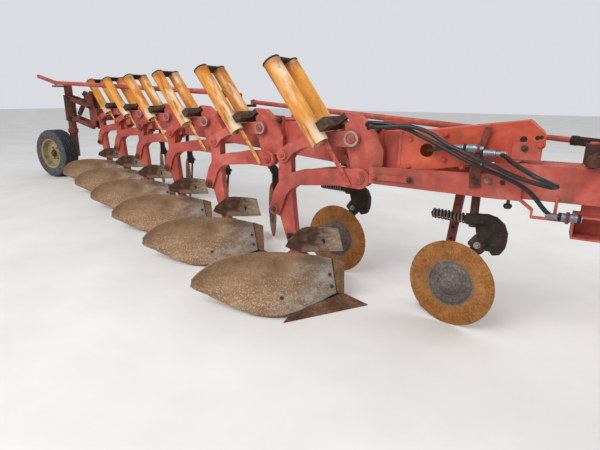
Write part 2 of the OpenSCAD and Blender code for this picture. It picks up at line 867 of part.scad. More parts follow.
// Rear bracket: cross tube on the beam's end and two plates for the links
module rear_bracket() {
    color(rust) placed() {
        difference() {
            union() {
                difference() {
                    translate([post_x + 614, post_y - plate_out, 900])
                        cube([90, 700, 180]);
                    beam_frame()
                        translate([0, -1000, 0])
                            cube([beam_len + 500, 1000 + seat, 2000]);
                }
                for (s = [-1, 1])
                    translate([post_x, post_y + s * (plate_in + plate_out) / 2, 0])
                        slab(-(plate_out - plate_in) / 2, (plate_out - plate_in) / 2)
                            polygon([
                                [555, 770], [600, 770], [640, 830], [640, 1100], [620, 1200],
                                [600, 1300], [450, 1345], [410, 1290], [470, 1200], [525, 1067],
                                [525, 830]
                            ]);
            }
            for (z = [link_upper_z - link_dz, link_lower_z - link_dz])
                cross_bar(frame_pin_x, post_y - 100, post_y + 100, z, tail_pin_d + 2 * pin_clear);
            cross_bar(cyl_top[0], post_y - 100, post_y + 100, cyl_top[1], tail_pin_d + 2 * pin_clear);
        }
    }
}

// Link plates on both sides, with the pins that hold them at their frame end
module tail_link(z) {
    difference() {
        union() {
            for (s = [-1, 1])
                translate([0, post_y + s * (plate_out + seat + link_t / 2), 0])
                    slab(-link_t / 2, link_t / 2) {
                        translate([frame_pin_x, z - link_dz]) circle(r = 34);
                        translate([carrier_pin_x, z]) circle(r = 34);
                        polygon([
                            [frame_pin_x + 8, z - link_dz + 32], [frame_pin_x - 8, z - link_dz - 32],
                            [carrier_pin_x - 8, z - 32], [carrier_pin_x + 8, z + 32]
                        ]);
                    }
            cross_bar(frame_pin_x, post_y - tail_pin_reach, post_y + tail_pin_reach, z - link_dz, tail_pin_d);
        }
        cross_bar(carrier_pin_x, post_y - 120, post_y + 120, z, tail_pin_d + 2 * pin_clear);
    }
}

module tail_link_upper() {
    color(rust) placed() tail_link(link_upper_z);
}

module tail_link_lower() {
    color(rust) placed() {
        tail_link(link_lower_z);
        // Pin for the cylinder's rod and the short plates that carry it.
        for (s = [-1, 1])
            translate([0, post_y + s * (plate_in - 6), 0])
                slab(-5, 5) translate([cyl_low[0], cyl_low[1]]) circle(r = 24);
        cross_bar(cyl_low[0], post_y - plate_out - seat - link_t, post_y + plate_out + seat + link_t, cyl_low[1], 24);
    }
}

// Carrier: the sleeve that the post turns in, with lugs for the links
module tail_carrier() {
    color(rust) placed()
        difference() {
            union() {
                translate([post_x, post_y, 884]) cylinder(h = 390, d = post_d + 44);
                for (z = [link_upper_z, link_lower_z], s = [-1, 1])
                    translate([0, post_y + s * (plate_in + plate_out) / 2, 0])
                        slab(-(plate_out - plate_in) / 2, (plate_out - plate_in) / 2) {
                            translate([carrier_pin_x, z]) circle(r = 32);
                            polygon([
                                [post_x + 20, z - 40], [carrier_pin_x, z - 32], [carrier_pin_x, z + 32],
                                [post_x + 20, z + 40]
                            ]);
                        }
                for (z = [link_upper_z, link_lower_z], y = [plate_in, -tail_pin_reach])
                    cross_bar(carrier_pin_x, post_y + y, post_y + y + tail_pin_reach - plate_in, z, tail_pin_d);
            }
            translate([post_x, post_y, 0]) cylinder(h = 2000, d = post_d + 2 * pin_clear);
        }
}

cyl_v = cyl_low - cyl_top;
cyl_len = norm(cyl_v);
cyl_turn = atan2(cyl_v[1], cyl_v[0]);

// Frame of the lift cylinder: X from the upper pin to the lower one
module cyl_frame() translate([cyl_top[0], post_y, cyl_top[1]]) rotate([0, -cyl_turn, 0]) children();

module tail_cylinder() {
    color(rust) placed() {
        cyl_frame() difference() {
            union() {
                rotate([90, 0, 0]) translate([0, 0, -30]) cylinder(h = 60, d = 64);
                translate([20, 0, 0]) rotate([0, 90, 0]) cylinder(h = cyl_len - 115, d = cyl_d);
            }
            translate([40, 0, 0]) rotate([0, 90, 0]) cylinder(h = cyl_len, d = 36);
        }
        cross_bar(cyl_top[0], post_y - 78, post_y + 78, cyl_top[1], tail_pin_d);
    }
}

module tail_cylinder_rod() {
    rod_eye_d = 68;
    color(silver) placed() cyl_frame()
        difference() {
            union() {
                translate([60, 0, 0])
                    rotate([0, 90, 0])
                        cylinder(h = cyl_len - 60 - rod_eye_d / 2 + 6, d = 35);
                rotate([90, 0, 0])
                    translate([cyl_len, 0, -28])
                        cylinder(h = 56, d = rod_eye_d);
            }
            rotate([90, 0, 0])
                translate([cyl_len, 0, -60])
                    cylinder(h = 120, d = 42);
        }
}

// Turning post with collar, stub axle and steering arm
module tail_post() {
    axle_d = 60;
    arm_t = 24;
    arm_top = tail_eye_z - bend_collar_d / 2 - 6;
    color(rust) placed() {
        translate([post_x, post_y, tyre_r - 60])
            cylinder(h = arm_top - tyre_r + 66, d = post_d);
        translate([post_x, post_y, 690])
            cylinder(h = 64, d = post_d + 30);
        rod_between([post_x, post_y, tyre_r], [wheel_x, post_y, tyre_r], 90);
        cross_bar(wheel_x, wheel_y - 60, post_y + 30, tyre_r, axle_d);
        cross_bar(wheel_x, wheel_y + 62, post_y + 30, tyre_r, 100);
        translate([post_x, post_y, arm_top - arm_t])
            rotate([0, 0, -90 - rear_turn])
                translate([0, -45, 0])
                    cube([steer_arm + 45, 90, arm_t]);
    }
}

// Tail wheel rim
module tail_rim() {
    rim_r = rim_d / 2;
    half = tyre_w / 2 - 20;
    color(cream) placed()
        translate([wheel_x, wheel_y, tyre_r])
            rotate([90, 0, 0])
                rotate_extrude($fn = 72)
                    polygon([
                        [30 + pin_clear, -20], [70, -20], [80, 10], [rim_r - 40, 10], [rim_r - 24, -half],
                        [rim_r, -half - 8], [rim_r, -half], [rim_r - 12, -half + 10],
                        [rim_r - 12, half - 10], [rim_r, half], [rim_r, half + 8], [rim_r - 24, half],
                        [rim_r - 30, 24], [80, 24], [72, 50], [30 + pin_clear, 50]
                    ]);
}

// Tail wheel tyre
module tail_tyre() {
    rim_r = rim_d / 2;
    half = tyre_w / 2;
    color(rubber_grey) placed()
        translate([wheel_x, wheel_y, tyre_r])
            rotate([90, 0, 0])
                rotate_extrude($fn = 96)
                    polygon([
                        [rim_r + seat, -half + 16], [rim_r + 28, -half + 5], [rim_r + 70, -half],
                        [tyre_r - 30, -half + 4], [tyre_r - 8, -half + 18], [tyre_r, -half + 42],
                        [tyre_r, half - 42], [tyre_r - 8, half - 18], [tyre_r - 30, half - 4],
                        [rim_r + 70, half], [rim_r + 28, half - 5], [rim_r + seat, half - 16]
                    ]);
}

// Rear steering rod: a long tube that bends up behind the post
module steer_rod_rear() {
    dir = (tail_eye - idler_rear) / norm(tail_eye - idler_rear);
    side = [sin(rear_turn), cos(rear_turn), 0];
    far = tail_eye + [dir[0] * 520, dir[1] * 520, 95];
    start = idler_rear + dir * 60;
    color(paint) placed() {
        rod_between(start, tail_eye, rod_rear_d);
        rod_between(tail_eye - dir * bend_collar, tail_eye + dir * bend_collar, bend_collar_d);
        rod_between(tail_eye, far, rod_rear_d);
        for (s = [-1, 1])
            difference() {
                union() {
                    flat_between(start + s * side * 32 + dir * 20, idler_rear + s * side * 32, 28, 10);
                    rod_between(idler_rear + s * side * 27, idler_rear + s * side * 37, 30);
                }
                rod_between(idler_rear - side * 60, idler_rear + side * 60, 20 + 2 * pin_clear);
            }
        rod_between(start - side * 36, start + side * 36, 38);
        flat_between(far, far + [dir[0] * 70, dir[1] * 70, 12], 50, 40);
    }
}

// Swivel on the idler that lets the rear rod rise and fall
module steer_swivel() {
    side = [sin(rear_turn), cos(rear_turn), 0];
    color(dark) placed()
        difference() {
            union() {
                translate(idler_rear - [0, 0, swivel_h / 2]) cylinder(h = swivel_h, d = 52);
                rod_between(idler_rear - side * 44, idler_rear + side * 44, 20);
            }
            translate(idler_rear - [0, 0, 30]) cylinder(h = 80, d = eye_pin_d + 2 * pin_clear);
        }
}

// Flat lever arm from one point to another with a round boss at its end, its top at z.
module lever_arm(p, q, z, thick = arm_t) {
    v = q - p;
    translate([p[0], p[1], z - thick])
        rotate([0, 0, atan2(v[1], v[0])])
            linear_extrude(height = thick) {
                translate([0, -22])
                    square([norm([v[0], v[1]]), 44]);
                translate([norm([v[0], v[1]]), 0])
                    circle(d = 60);
            }
}

// Idler lever with both arms
module steer_idler() {
    hub = [idler_x, idler_y, 0];
    rear_top = rod_rear_z - swivel_h / 2 - seat;
    front_top = rod_front_z - eye_h / 2 - 3;
    color(dark) placed() {
        difference() {
            union() {
                translate([idler_x, idler_y, front_top - arm_t - 2])
                    cylinder(h = rod_rear_z - 8 - seat - front_top + arm_t + 2, d = 70);
                lever_arm(hub, idler_rear, rear_top);
                lever_arm(hub, idler_front, front_top);
            }
            translate([idler_x, idler_y, 0])
                cylinder(h = 2000, d = lever_pin_d + 2 * pin_clear);
        }
        translate([idler_rear[0], idler_rear[1], rear_top - 1]) cylinder(h = 50, d = eye_pin_d);
        translate([idler_front[0], idler_front[1], front_top - 1]) cylinder(h = 56, d = eye_pin_d);
    }
}

// Front steering rod with an eye at each end
module steer_rod_front() {
    dir = (crank_eye - idler_front) / norm(crank_eye - idler_front);
    color(paint) placed()
        difference() {
            union() {
                rod_between(idler_front + dir * 20, crank_eye - dir * 20, rod_front_d);
                for (p = [idler_front, crank_eye])
                    translate(p - [0, 0, eye_h / 2]) cylinder(h = eye_h, d = eye_d);
            }
            for (p = [idler_front, crank_eye])
                translate(p - [0, 0, 60]) cylinder(h = 120, d = eye_pin_d + 2 * pin_clear);
        }
}

// Steering crank on the tongue: one arm for the long rod, one for the drag link
module steer_crank() {
    hub = [crank_x, crank_y, 0];
    top = crank_z - eye_h / 2 - seat;
    color(rust) placed() {
        difference() {
            union() {
                translate([crank_x, crank_y, drag_z])
                    cylinder(h = crank_z + 14 - drag_z, d = 70);
                lever_arm(hub, crank_eye, top);
                lever_arm(hub, hub - [0, drag_arm, 0], drag_z + drag_t, drag_t - 2);
            }
            translate([crank_x, crank_y, 0])
                cylinder(h = 2000, d = lever_pin_d + 2 * pin_clear);
        }
        translate([crank_eye[0], crank_eye[1], top - 1])
            cylinder(h = eye_h + 12, d = eye_pin_d);
        translate([crank_x, crank_y - drag_arm, drag_z + 1])
            cylinder(h = drag_t + 39, d = drag_pin_d);
    }
}

// Short link from the crank to the hitch head
module drag_link() {
    thick = 30;
    z = drag_z + drag_t + seat + thick / 2;
    a = [crank_x, crank_y - drag_arm, z];
    b = [king_x, front_y + drag_arm, z];
    dir = (b - a) / norm(b - a);
    color(rust) placed()
        difference() {
            union() {
                rod_between(a + dir * 20, b - dir * 20, 28);
                for (p = [a, b])
                    translate(p - [0, 0, thick / 2]) cylinder(h = thick, d = 52);
                translate(b) cylinder(h = thick / 2 + 12, d = 30);
            }
            translate(a - [0, 0, 30]) cylinder(h = 60, d = drag_pin_d + 2 * pin_clear);
        }
}

// Hitch head: sleeve on the king pin, cross beam and the lower link pins
module hitch_head() {
    lug = 30;
    y0 = front_y;
    neck_z = tongue_z + lug + seat;
    neck_h = tongue_h - 2 * lug - 2 * seat;
    shaft_x = king_x + 150;
    shaft_d = hitch_pin_d + 30;
    color(paint) placed() {
        translate([king_x, y0, neck_z])
            cylinder(h = neck_h, d = 150);
        translate([king_x, y0 - 60, neck_z])
            cube([166, 120, neck_h]);
        translate([king_x + 90, y0 - 60, hitch_z - 60])
            cube([76, 120, neck_z + neck_h - hitch_z + 60]);
        translate([king_x + 90, y0 - hitch_span / 2 + 40, hitch_z - 60])
            cube([120, hitch_span - 80, 120]);
        cross_bar(shaft_x, y0 - hitch_span / 2 - hitch_pin_len, y0 + hitch_span / 2 + hitch_pin_len, hitch_z, hitch_pin_d);
        cross_bar(shaft_x, y0 - hitch_span / 2, y0 + hitch_span / 2, hitch_z, shaft_d);
        translate([king_x, y0, tongue_z - 20])
            cylinder(h = tongue_h + 28 + drag_t, d = king_d);
        translate([king_x - 35, y0, drag_z])
            cube([70, drag_arm + 30, drag_t]);
    }
}

// Parking stand: square bar with a round foot
module parking_stand() {
    color(rust) placed() {
        translate([stand_x, stand_y, 0])
            rotate([0, stand_lean, 0])
                translate([-stand_w / 2, -stand_w / 2, 12])
                    cube([stand_w, stand_w, 928]);
        translate([stand_x, stand_y, 0])
            cylinder(h = 16, d = foot_d);
    }
}

// Socket on the left side rail that the stand slides in
module stand_socket() {
    wall = 10;
    inner = stand_w + 2 * stand_clear;
    outer = inner + 2 * wall;
    y_rail = front_y + front_w / 2 + rail_t + seat;
    color(paint) placed()
        translate([stand_x, stand_y, 0])
            rotate([0, stand_lean, 0])
                difference() {
                    union() {
                        translate([-outer / 2, -outer / 2, 790])
                            cube([outer, outer, 140]);
                        translate([-35, y_rail - stand_y, 822])
                            cube([70, stand_y - y_rail - inner / 2, 80]);
                    }
                    translate([-inner / 2, -inner / 2, 700])
                        cube([inner, inner, 400]);
                }
}

// Quick couplers: two on the holder and one on the rail's strap. Rows are X, Z, length
// and diameter of each barrel, which all lie level.
COUPLERS = [[352, 1046, 62, 40], [414, 1046, 34, 30], [436, 1027, 68, 38], [806, 754.4, 96, 38]];
holder_y = front_y - front_w / 2 - rail_t - seat;
coupler_y = holder_y - 29;

// Clips round two of the barrels. Rows are the barrel's row, how far along it the clip
// starts, its width, and the low and high edge of its foot from the barrel's axis.
CLIPS = [[1, 6, 12, -10, 10], [3, 32, 14, -30.4, -19.4]];

module coupler_clip(k) {
    c = COUPLERS[k[0]];
    x = c[0] + k[1];
    difference() {
        union() {
            translate([x, coupler_y, c[1]])
                rotate([0, 90, 0])
                    cylinder(h = k[2], d = c[3] + 14);
            translate([x, coupler_y, c[1] + k[3]])
                cube([k[2], holder_y - coupler_y, k[4] - k[3]]);
        }
        translate([x - 1, coupler_y, c[1]])
            rotate([0, 90, 0])
                cylinder(h = k[2] + 2, d = c[3] + 2 * seat);
    }
}

// Strap on the side rail that holds the hose couplers by a clip, and the rail's own clip
module hose_holder() {
    color(rust) placed() {
        slab(holder_y - 8, holder_y)
            polygon([
                [390, 925], [397, 846], [453, 850], [444, 927], [436, 1002], [446, 1045],
                [475, 1151], [441, 1150], [418, 1045], [404, 1002]
            ]);
        for (k = CLIPS)
            coupler_clip(k);
    }
}

module couplers() {
    color(silver) placed()
        for (c = COUPLERS)
            translate([c[0], coupler_y, c[1]]) rotate([0, 90, 0]) cylinder(h = c[2], d = c[3]);
}

// Hydraulic hoses held between the couplers, as round-number routes of X, Y and Z.
hose_d = 22;
HOSES = [
    [
        [-150, -152, 1105], [-110, -150, 1141], [-48, -147, 1148], [12, -147, 1138],
        [79, -147, 1120], [138, -150, 1095], [203, -164, 1070], [283, -184, 1036],
        [361, -200, 1000], [420, -200, 975], [477, -186, 950], [552, -162, 921],
        [632, -149, 884], [690, -149, 842], [736, -149, 790], [772, -149.3, 758],
        [804.5, -149.3, 754.4]
    ],
    [
        [150, -176, 1128], [201, -178, 1108], [282, -196, 1064], [361, -216, 1034],
        [430, -224, 1006], [500, -220, 980], [570, -215, 948], [640, -215, 925],
        [700, -230, 912], [752, -262, 908], [778, -300, 918], [752, -340, 936],
        [700, -345, 956], [640, -300, 980], [585, -230, 1002], [552, -174, 1018],
        [528, -151, 1026], [505, -149.3, 1027]
    ],
    [
        [165, -80, 1016], [168, -106, 1018], [186, -130, 1023], [224, -145, 1033],
        [285, -149.3, 1043], [325, -149.3, 1046], [351, -149.3, 1046]
    ]
];

// Point of route R at u, on a smooth curve through its points.
function route_at(R, u) = [for (c = [0:2]) board_at(R, u, c)];

// Tube along route R with a ring at every half step.
module hose(R) {
    steps = 2;
    sides = 10;
    last = (len(R) - 1) * steps;
    ring = [for (i = [0:last])
        let (u = i / steps, p = route_at(R, u),
            t = route_at(R, min(u + 0.05, last / steps)) - route_at(R, max(u - 0.05, 0)),
            a = cross(t, [0, 0, 1]) / norm(cross(t, [0, 0, 1])), b = cross(t, a) / norm(cross(t, a)))
        for (k = [0:sides - 1]) p + hose_d / 2 * (a * cos(k * 360 / sides) + b * sin(k * 360 / sides))];
    n = sides;
    sides_faces = [for (i = [0:last - 1], k = [0:n - 1])
        each [[i * n + k, i * n + (k + 1) % n, (i + 1) * n + k],
            [i * n + (k + 1) % n, (i + 1) * n + (k + 1) % n, (i + 1) * n + k]]];
    ends = [[for (k = [0:n - 1]) n - 1 - k], [for (k = [0:n - 1]) last * n + k]];
    polyhedron(points = ring, faces = [for (f = concat(sides_faces, ends)) [for (k = [len(f) - 1:-1:0]) f[k]]]);
}

module hoses() {
    color(hose_black) placed() for (r = HOSES) hose(r);
}

main_beam();
front_box();
side_rail();
tongue();
unit_brackets();
pivot_pins();
heel_bolts();
goosenecks();
standards();
rocker_arms();
spring_tubes();
tube_caps();
spring_seats();
reset_rods();
frogs();
moldboards();
shins();
shares();
landsides();
cover_boards();
coulter_clamps();
coulter_arm_1();
coulter_arm_2();
coulter_arm_3();
coulter_arm_4();
coulter_arm_5();
coulter_arm_6();
coulter_disc_1();
coulter_disc_2();
coulter_disc_3();
coulter_disc_4();
coulter_disc_5();
coulter_disc_6();
rear_bracket();
tail_link_upper();
tail_link_lower();
tail_carrier();
tail_cylinder();
tail_cylinder_rod();
tail_post();
tail_rim();
tail_tyre();
steer_rod_rear();
steer_swivel();
steer_idler();
steer_rod_front();
steer_crank();
drag_link();
hitch_head();
stand_socket();
parking_stand();
hose_holder();
couplers();
hoses();
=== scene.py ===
"""Looks of a six furrow semi-mounted moldboard plough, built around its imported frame."""
import json
import math

import bmesh
import bpy
from mathutils import Matrix, Vector


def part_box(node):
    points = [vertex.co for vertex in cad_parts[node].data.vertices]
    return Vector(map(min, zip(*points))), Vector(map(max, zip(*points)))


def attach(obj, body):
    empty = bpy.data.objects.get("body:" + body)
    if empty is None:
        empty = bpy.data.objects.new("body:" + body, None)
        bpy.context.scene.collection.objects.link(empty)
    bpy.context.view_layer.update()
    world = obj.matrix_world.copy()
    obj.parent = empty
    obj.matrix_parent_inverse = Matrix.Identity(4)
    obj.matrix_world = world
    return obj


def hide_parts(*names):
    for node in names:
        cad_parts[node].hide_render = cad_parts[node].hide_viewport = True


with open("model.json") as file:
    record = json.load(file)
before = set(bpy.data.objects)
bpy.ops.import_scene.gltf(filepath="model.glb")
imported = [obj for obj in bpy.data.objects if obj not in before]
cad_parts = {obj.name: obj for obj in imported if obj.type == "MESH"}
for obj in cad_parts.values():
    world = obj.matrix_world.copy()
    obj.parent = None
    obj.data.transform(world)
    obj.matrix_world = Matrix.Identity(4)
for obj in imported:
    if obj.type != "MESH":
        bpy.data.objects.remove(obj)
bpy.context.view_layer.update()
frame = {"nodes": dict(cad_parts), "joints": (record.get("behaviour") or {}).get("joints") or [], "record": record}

# Plough sizes below are counted, in metres, from the landside line of the front bottom,
# as in the part's source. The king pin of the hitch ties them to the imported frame.
KING = (1.790, 0.0)
KING_AT = next(j["pos_m"] for j in frame["joints"] if j["name"] == "hitch_yaw")
ORIGIN = Vector((KING_AT[0] - KING[0], KING_AT[1] - KING[1], 0))
SPACING = 0.918
FURROW = 0.457
BOTTOMS = range(6)


def place(x, y, z, bottom=0):
    """Point in the frame from plough sizes, at a bottom counted from the front."""
    return ORIGIN + Vector((x - bottom * SPACING, y + bottom * FURROW, z))


def home_of(bottom=0):
    """Matrix at the zero point of a bottom, on the ground."""
    return Matrix.Translation(place(0, 0, 0, bottom))


# Camera, at the photograph's place: metres, degrees and pixels
CAMERA_AT = (0.712, -2.502, 1.281)
CAMERA_TURN = 28.43
CAMERA_DOWN = 15.95
CAMERA_ROLL = 0.53
FOCAL_PIXELS = 448.0
PHOTO_WIDTH = 600


def make_camera():
    """Camera that looks along the photograph's line of sight."""
    data = bpy.data.cameras.new("camera")
    data.sensor_width = 36.0
    data.lens = FOCAL_PIXELS / PHOTO_WIDTH * data.sensor_width
    cam = bpy.data.objects.new("camera", data)
    turn = Matrix.Rotation(math.radians(CAMERA_TURN), 4, "Z")
    tilt = Matrix.Rotation(math.radians(90 - CAMERA_DOWN), 4, "X")
    roll = Matrix.Rotation(math.radians(CAMERA_ROLL), 4, "Z")
    cam.matrix_world = Matrix.Translation(place(*CAMERA_AT)) @ turn @ tilt @ roll
    bpy.context.scene.collection.objects.link(cam)
    bpy.context.scene.camera = cam


make_camera()


def rgb(code):
    """Linear colour from a hexadecimal one."""
    parts = [int(code[i:i + 2], 16) / 255 for i in (0, 2, 4)]
    return tuple(p / 12.92 if p <= 0.04045 else ((p + 0.055) / 1.055) ** 2.4 for p in parts) + (1.0,)


class Graph:
    """Small helper that builds one material's nodes."""

    def __init__(self, name):
        self.material = bpy.data.materials.new(name)
        self.material.use_nodes = True
        self.tree = self.material.node_tree
        self.shader = self.tree.nodes["Principled BSDF"]
        self.place = self.node("ShaderNodeTexCoord").outputs["Object"]
        self.normal = self.node("ShaderNodeNewGeometry").outputs["Normal"]

    def node(self, kind, **settings):
        made = self.tree.nodes.new(kind)
        for key, value in settings.items():
            setattr(made, key, value)
        return made

    def put(self, socket, value):
        if isinstance(value, bpy.types.NodeSocket):
            self.tree.links.new(value, socket)
        else:
            socket.default_value = value

    def noise(self, scale, detail=5.0, rough=0.55, stretch=(1, 1, 1), shift=(0, 0, 0), bend=0.0, of=None):
        """Noise from 0 to 1, scale in features per metre."""
        mapping = self.node("ShaderNodeMapping")
        self.put(mapping.inputs["Vector"], of or self.place)
        mapping.inputs["Scale"].default_value = stretch
        mapping.inputs["Location"].default_value = shift
        made = self.node("ShaderNodeTexNoise")
        self.put(made.inputs["Vector"], mapping.outputs[0])
        made.inputs["Scale"].default_value = scale
        made.inputs["Detail"].default_value = detail
        made.inputs["Roughness"].default_value = rough
        made.inputs["Distortion"].default_value = bend
        return made.outputs["Fac"]

    def cells(self, scale):
        """Distance to the edges of cells, scale in cells per metre."""
        made = self.node("ShaderNodeTexVoronoi", feature="DISTANCE_TO_EDGE")
        self.put(made.inputs["Vector"], self.place)
        made.inputs["Scale"].default_value = scale
        return made.outputs["Distance"]

    def band(self, value, low, high):
        """0 below low, 1 above high, smooth between; low may be the greater."""
        made = self.node("ShaderNodeMapRange", interpolation_type="SMOOTHSTEP")
        self.put(made.inputs["Value"], value)
        flip = low > high
        made.inputs["From Min"].default_value = min(low, high)
        made.inputs["From Max"].default_value = max(low, high)
        made.inputs["To Min"].default_value = 1.0 if flip else 0.0
        made.inputs["To Max"].default_value = 0.0 if flip else 1.0
        return made.outputs[0]

    def math(self, what, a, b=0.0):
        made = self.node("ShaderNodeMath", operation=what)
        self.put(made.inputs[0], a)
        self.put(made.inputs[1], b)
        return made.outputs[0]

    def times(self, a, b):
        return self.math("MULTIPLY", a, b)

    def plus(self, a, b):
        return self.math("ADD", a, b)

    def mix(self, amount, a, b):
        made = self.node("ShaderNodeMix", data_type="RGBA")
        self.put(made.inputs["Factor"], amount)
        self.put(made.inputs[6], a)
        self.put(made.inputs[7], b)
        return made.outputs[2]

    def tint(self, colour, where, share, code):
        """Colour with a share of another laid over it where the mask says."""
        return self.mix(self.times(where, share), colour, rgb(code))

    def ramp(self, value, stops):
        made = self.node("ShaderNodeValToRGB")
        self.put(made.inputs["Fac"], value)
        band = made.color_ramp
        while len(band.elements) < len(stops):
            band.elements.new(0.5)
        for element, (at, colour) in zip(band.elements, stops):
            element.position = at
            element.color = rgb(colour)
        return made.outputs["Color"]

    def axis(self, name, of=None):
        made = self.node("ShaderNodeSeparateXYZ")
        self.put(made.inputs[0], of or self.place)
        return made.outputs[name]

    def dot(self, direction):
        """How far along a direction the point lies."""
        made = self.node("ShaderNodeVectorMath", operation="DOT_PRODUCT")
        self.put(made.inputs[0], self.place)
        made.inputs[1].default_value = direction
        return made.outputs["Value"]

    def join(self, x, y, z):
        made = self.node("ShaderNodeCombineXYZ")
        for socket, value in zip(made.inputs, (x, y, z)):
            self.put(socket, value)
        return made.outputs[0]

    def facing(self, name="Z"):
        """How far the surface faces along an axis."""
        return self.axis(name, self.normal)

    def edges(self, radius=0.006):
        """1 on outer edges within the radius, 0 on flat faces."""
        bevel = self.node("ShaderNodeBevel", samples=6)
        bevel.inputs["Radius"].default_value = radius
        dot = self.node("ShaderNodeVectorMath", operation="DOT_PRODUCT")
        self.put(dot.inputs[0], bevel.outputs[0])
        self.put(dot.inputs[1], self.normal)
        return self.band(dot.outputs["Value"], 0.995, 0.88)

    def close(self, colour, rough, metallic=0.0, bumps=(), specular=0.5):
        """Links the shader; bumps are pairs of a height and its depth in metres."""
        self.put(self.shader.inputs["Base Color"], colour)
        self.put(self.shader.inputs["Roughness"], rough)
        self.put(self.shader.inputs["Metallic"], metallic)
        self.shader.inputs["Specular IOR Level"].default_value = specular
        last = None
        for height, depth in bumps:
            bump = self.node("ShaderNodeBump")
            bump.inputs["Strength"].default_value = 1.0
            bump.inputs["Distance"].default_value = depth
            self.put(bump.inputs["Height"], height)
            if last:
                self.put(bump.inputs["Normal"], last)
            last = bump.outputs[0]
        if last:
            self.put(self.shader.inputs["Normal"], last)
        return self.material


def painted(name, deep, mid, pale, chips=0.5, grime=0.5, shift=0.0):
    """Old field paint: chalky fading with a painted highlight on upward faces, grime below, chips that rust along
    edges.
    """
    g = Graph(name)
    broad = g.noise(2.2, 4, shift=(shift, 0, 0))
    medium = g.noise(14, 6, 0.6, shift=(0, shift, 0))
    fine = g.noise(160, 4, 0.6)
    streak = g.noise(9, 6, 0.65, stretch=(1, 1, 0.16), shift=(0, 0, shift))
    colour = g.ramp(g.plus(g.times(broad, 0.55), g.times(medium, 0.45)),
                    [(0.30, deep), (0.50, mid), (0.70, pale)])
    # Paler on upward faces: chalky fading and a painted highlight
    chalk_and_top_highlight = g.times(g.band(g.facing(), 0.2, 0.95), g.band(medium, 0.35, 0.7))
    colour = g.tint(colour, chalk_and_top_highlight, 0.55, pale)
    runs = g.times(g.band(streak, 0.5, 0.72), grime)
    colour = g.mix(runs, colour, rgb("5A4638"))
    spots = g.band(g.noise(46, 5, 0.7, bend=0.4), 0.64, 0.70)
    edge = g.times(g.edges(0.007), g.band(g.noise(38, 4, 0.7), 0.42, 0.6))
    worn = g.times(g.math("MAXIMUM", g.times(spots, 0.8), edge), chips)
    colour = g.mix(worn, colour, g.ramp(fine, [(0.3, "3C241A"), (0.55, "6B3A22"), (0.75, "8A5232")]))
    rough = g.plus(g.times(medium, 0.25), 0.48)
    return g.close(colour, rough, bumps=((medium, 0.0012), (fine, 0.0004), (worn, -0.0006)), specular=0.35)


def rusty(name, dark, mid, light, grain=60, metal=0.0, rough=0.85):
    """Bare iron under an even coat of rust."""
    g = Graph(name)
    broad = g.noise(6, 5, 0.6)
    medium = g.noise(grain, 6, 0.65, bend=0.3)
    fine = g.noise(grain * 5, 3, 0.6)
    value = g.plus(g.times(broad, 0.5), g.times(medium, 0.5))
    colour = g.ramp(value, [(0.32, dark), (0.5, mid), (0.68, light)])
    colour = g.tint(colour, g.edges(0.005), 0.45, light)
    return g.close(colour, rough, metal, bumps=((medium, 0.0012), (fine, 0.0005)), specular=0.3)


# Direction in which the spring tubes lean
TUBE_AXIS = (-0.588, 0.0, 0.809)


def tube_skin():
    """Spring tubes: ochre rust with cream paint left low on the right, a pale band on the side facing +X that is
    partly worn paint and partly painted highlight, darker towards the top on the side facing -X, and dark rust at
    the very top.
    """
    g = Graph("tube_ochre")
    along = g.dot(TUBE_AXIS)
    across = g.dot((TUBE_AXIS[2], 0, -TUBE_AXIS[0]))
    skewed = g.join(g.times(along, 0.28), g.axis("Y"), across)
    streak = g.noise(26, 6, 0.6, of=skewed)
    broad = g.noise(7, 4, 0.55, of=skewed)
    fine = g.noise(200, 3, 0.6)
    value = g.plus(g.times(broad, 0.45), g.times(streak, 0.55))
    colour = g.ramp(value, [(0.34, "A25A1E"), (0.47, "CE8430"), (0.58, "DE9A44"), (0.70, "E3B26B")])
    # Side facing +X: a painted highlight band that is partly worn cream paint; the cream low down is also stronger
    # on this side
    right = g.band(g.facing("X"), -0.15, 0.75)
    low = g.band(g.axis("Z"), 1.20, 1.06)
    patch = g.band(g.noise(9, 5, 0.6, of=skewed, shift=(2, 0, 0)), 0.50, 0.60)
    foot = g.times(low, g.plus(g.times(right, 0.65), 0.30))
    band = g.times(g.times(right, patch), 0.75)
    cream = g.math("MAXIMUM", foot, band)
    cream = g.times(cream, g.band(streak, 0.36, 0.52))
    colour = g.mix(cream, colour, rgb("E9DDC2"))
    # Darker towards the top on the side facing -X
    left = g.band(g.facing("X"), 0.1, -0.7)
    dark = g.times(g.times(left, g.band(g.axis("Z"), 1.18, 1.42)), g.band(broad, 0.40, 0.56))
    colour = g.tint(colour, dark, 0.8, "7A3D22")
    top = g.times(g.band(g.axis("Z"), 1.43, 1.48), 0.6)
    colour = g.mix(top, colour, rgb("8A4A24"))
    spots = g.band(g.noise(60, 5, 0.75, bend=0.5), 0.63, 0.70)
    colour = g.tint(colour, spots, 0.6, "8A4B22")
    return g.close(colour, 0.68, bumps=((streak, 0.0008), (fine, 0.0003), (spots, -0.0004)), specular=0.3)


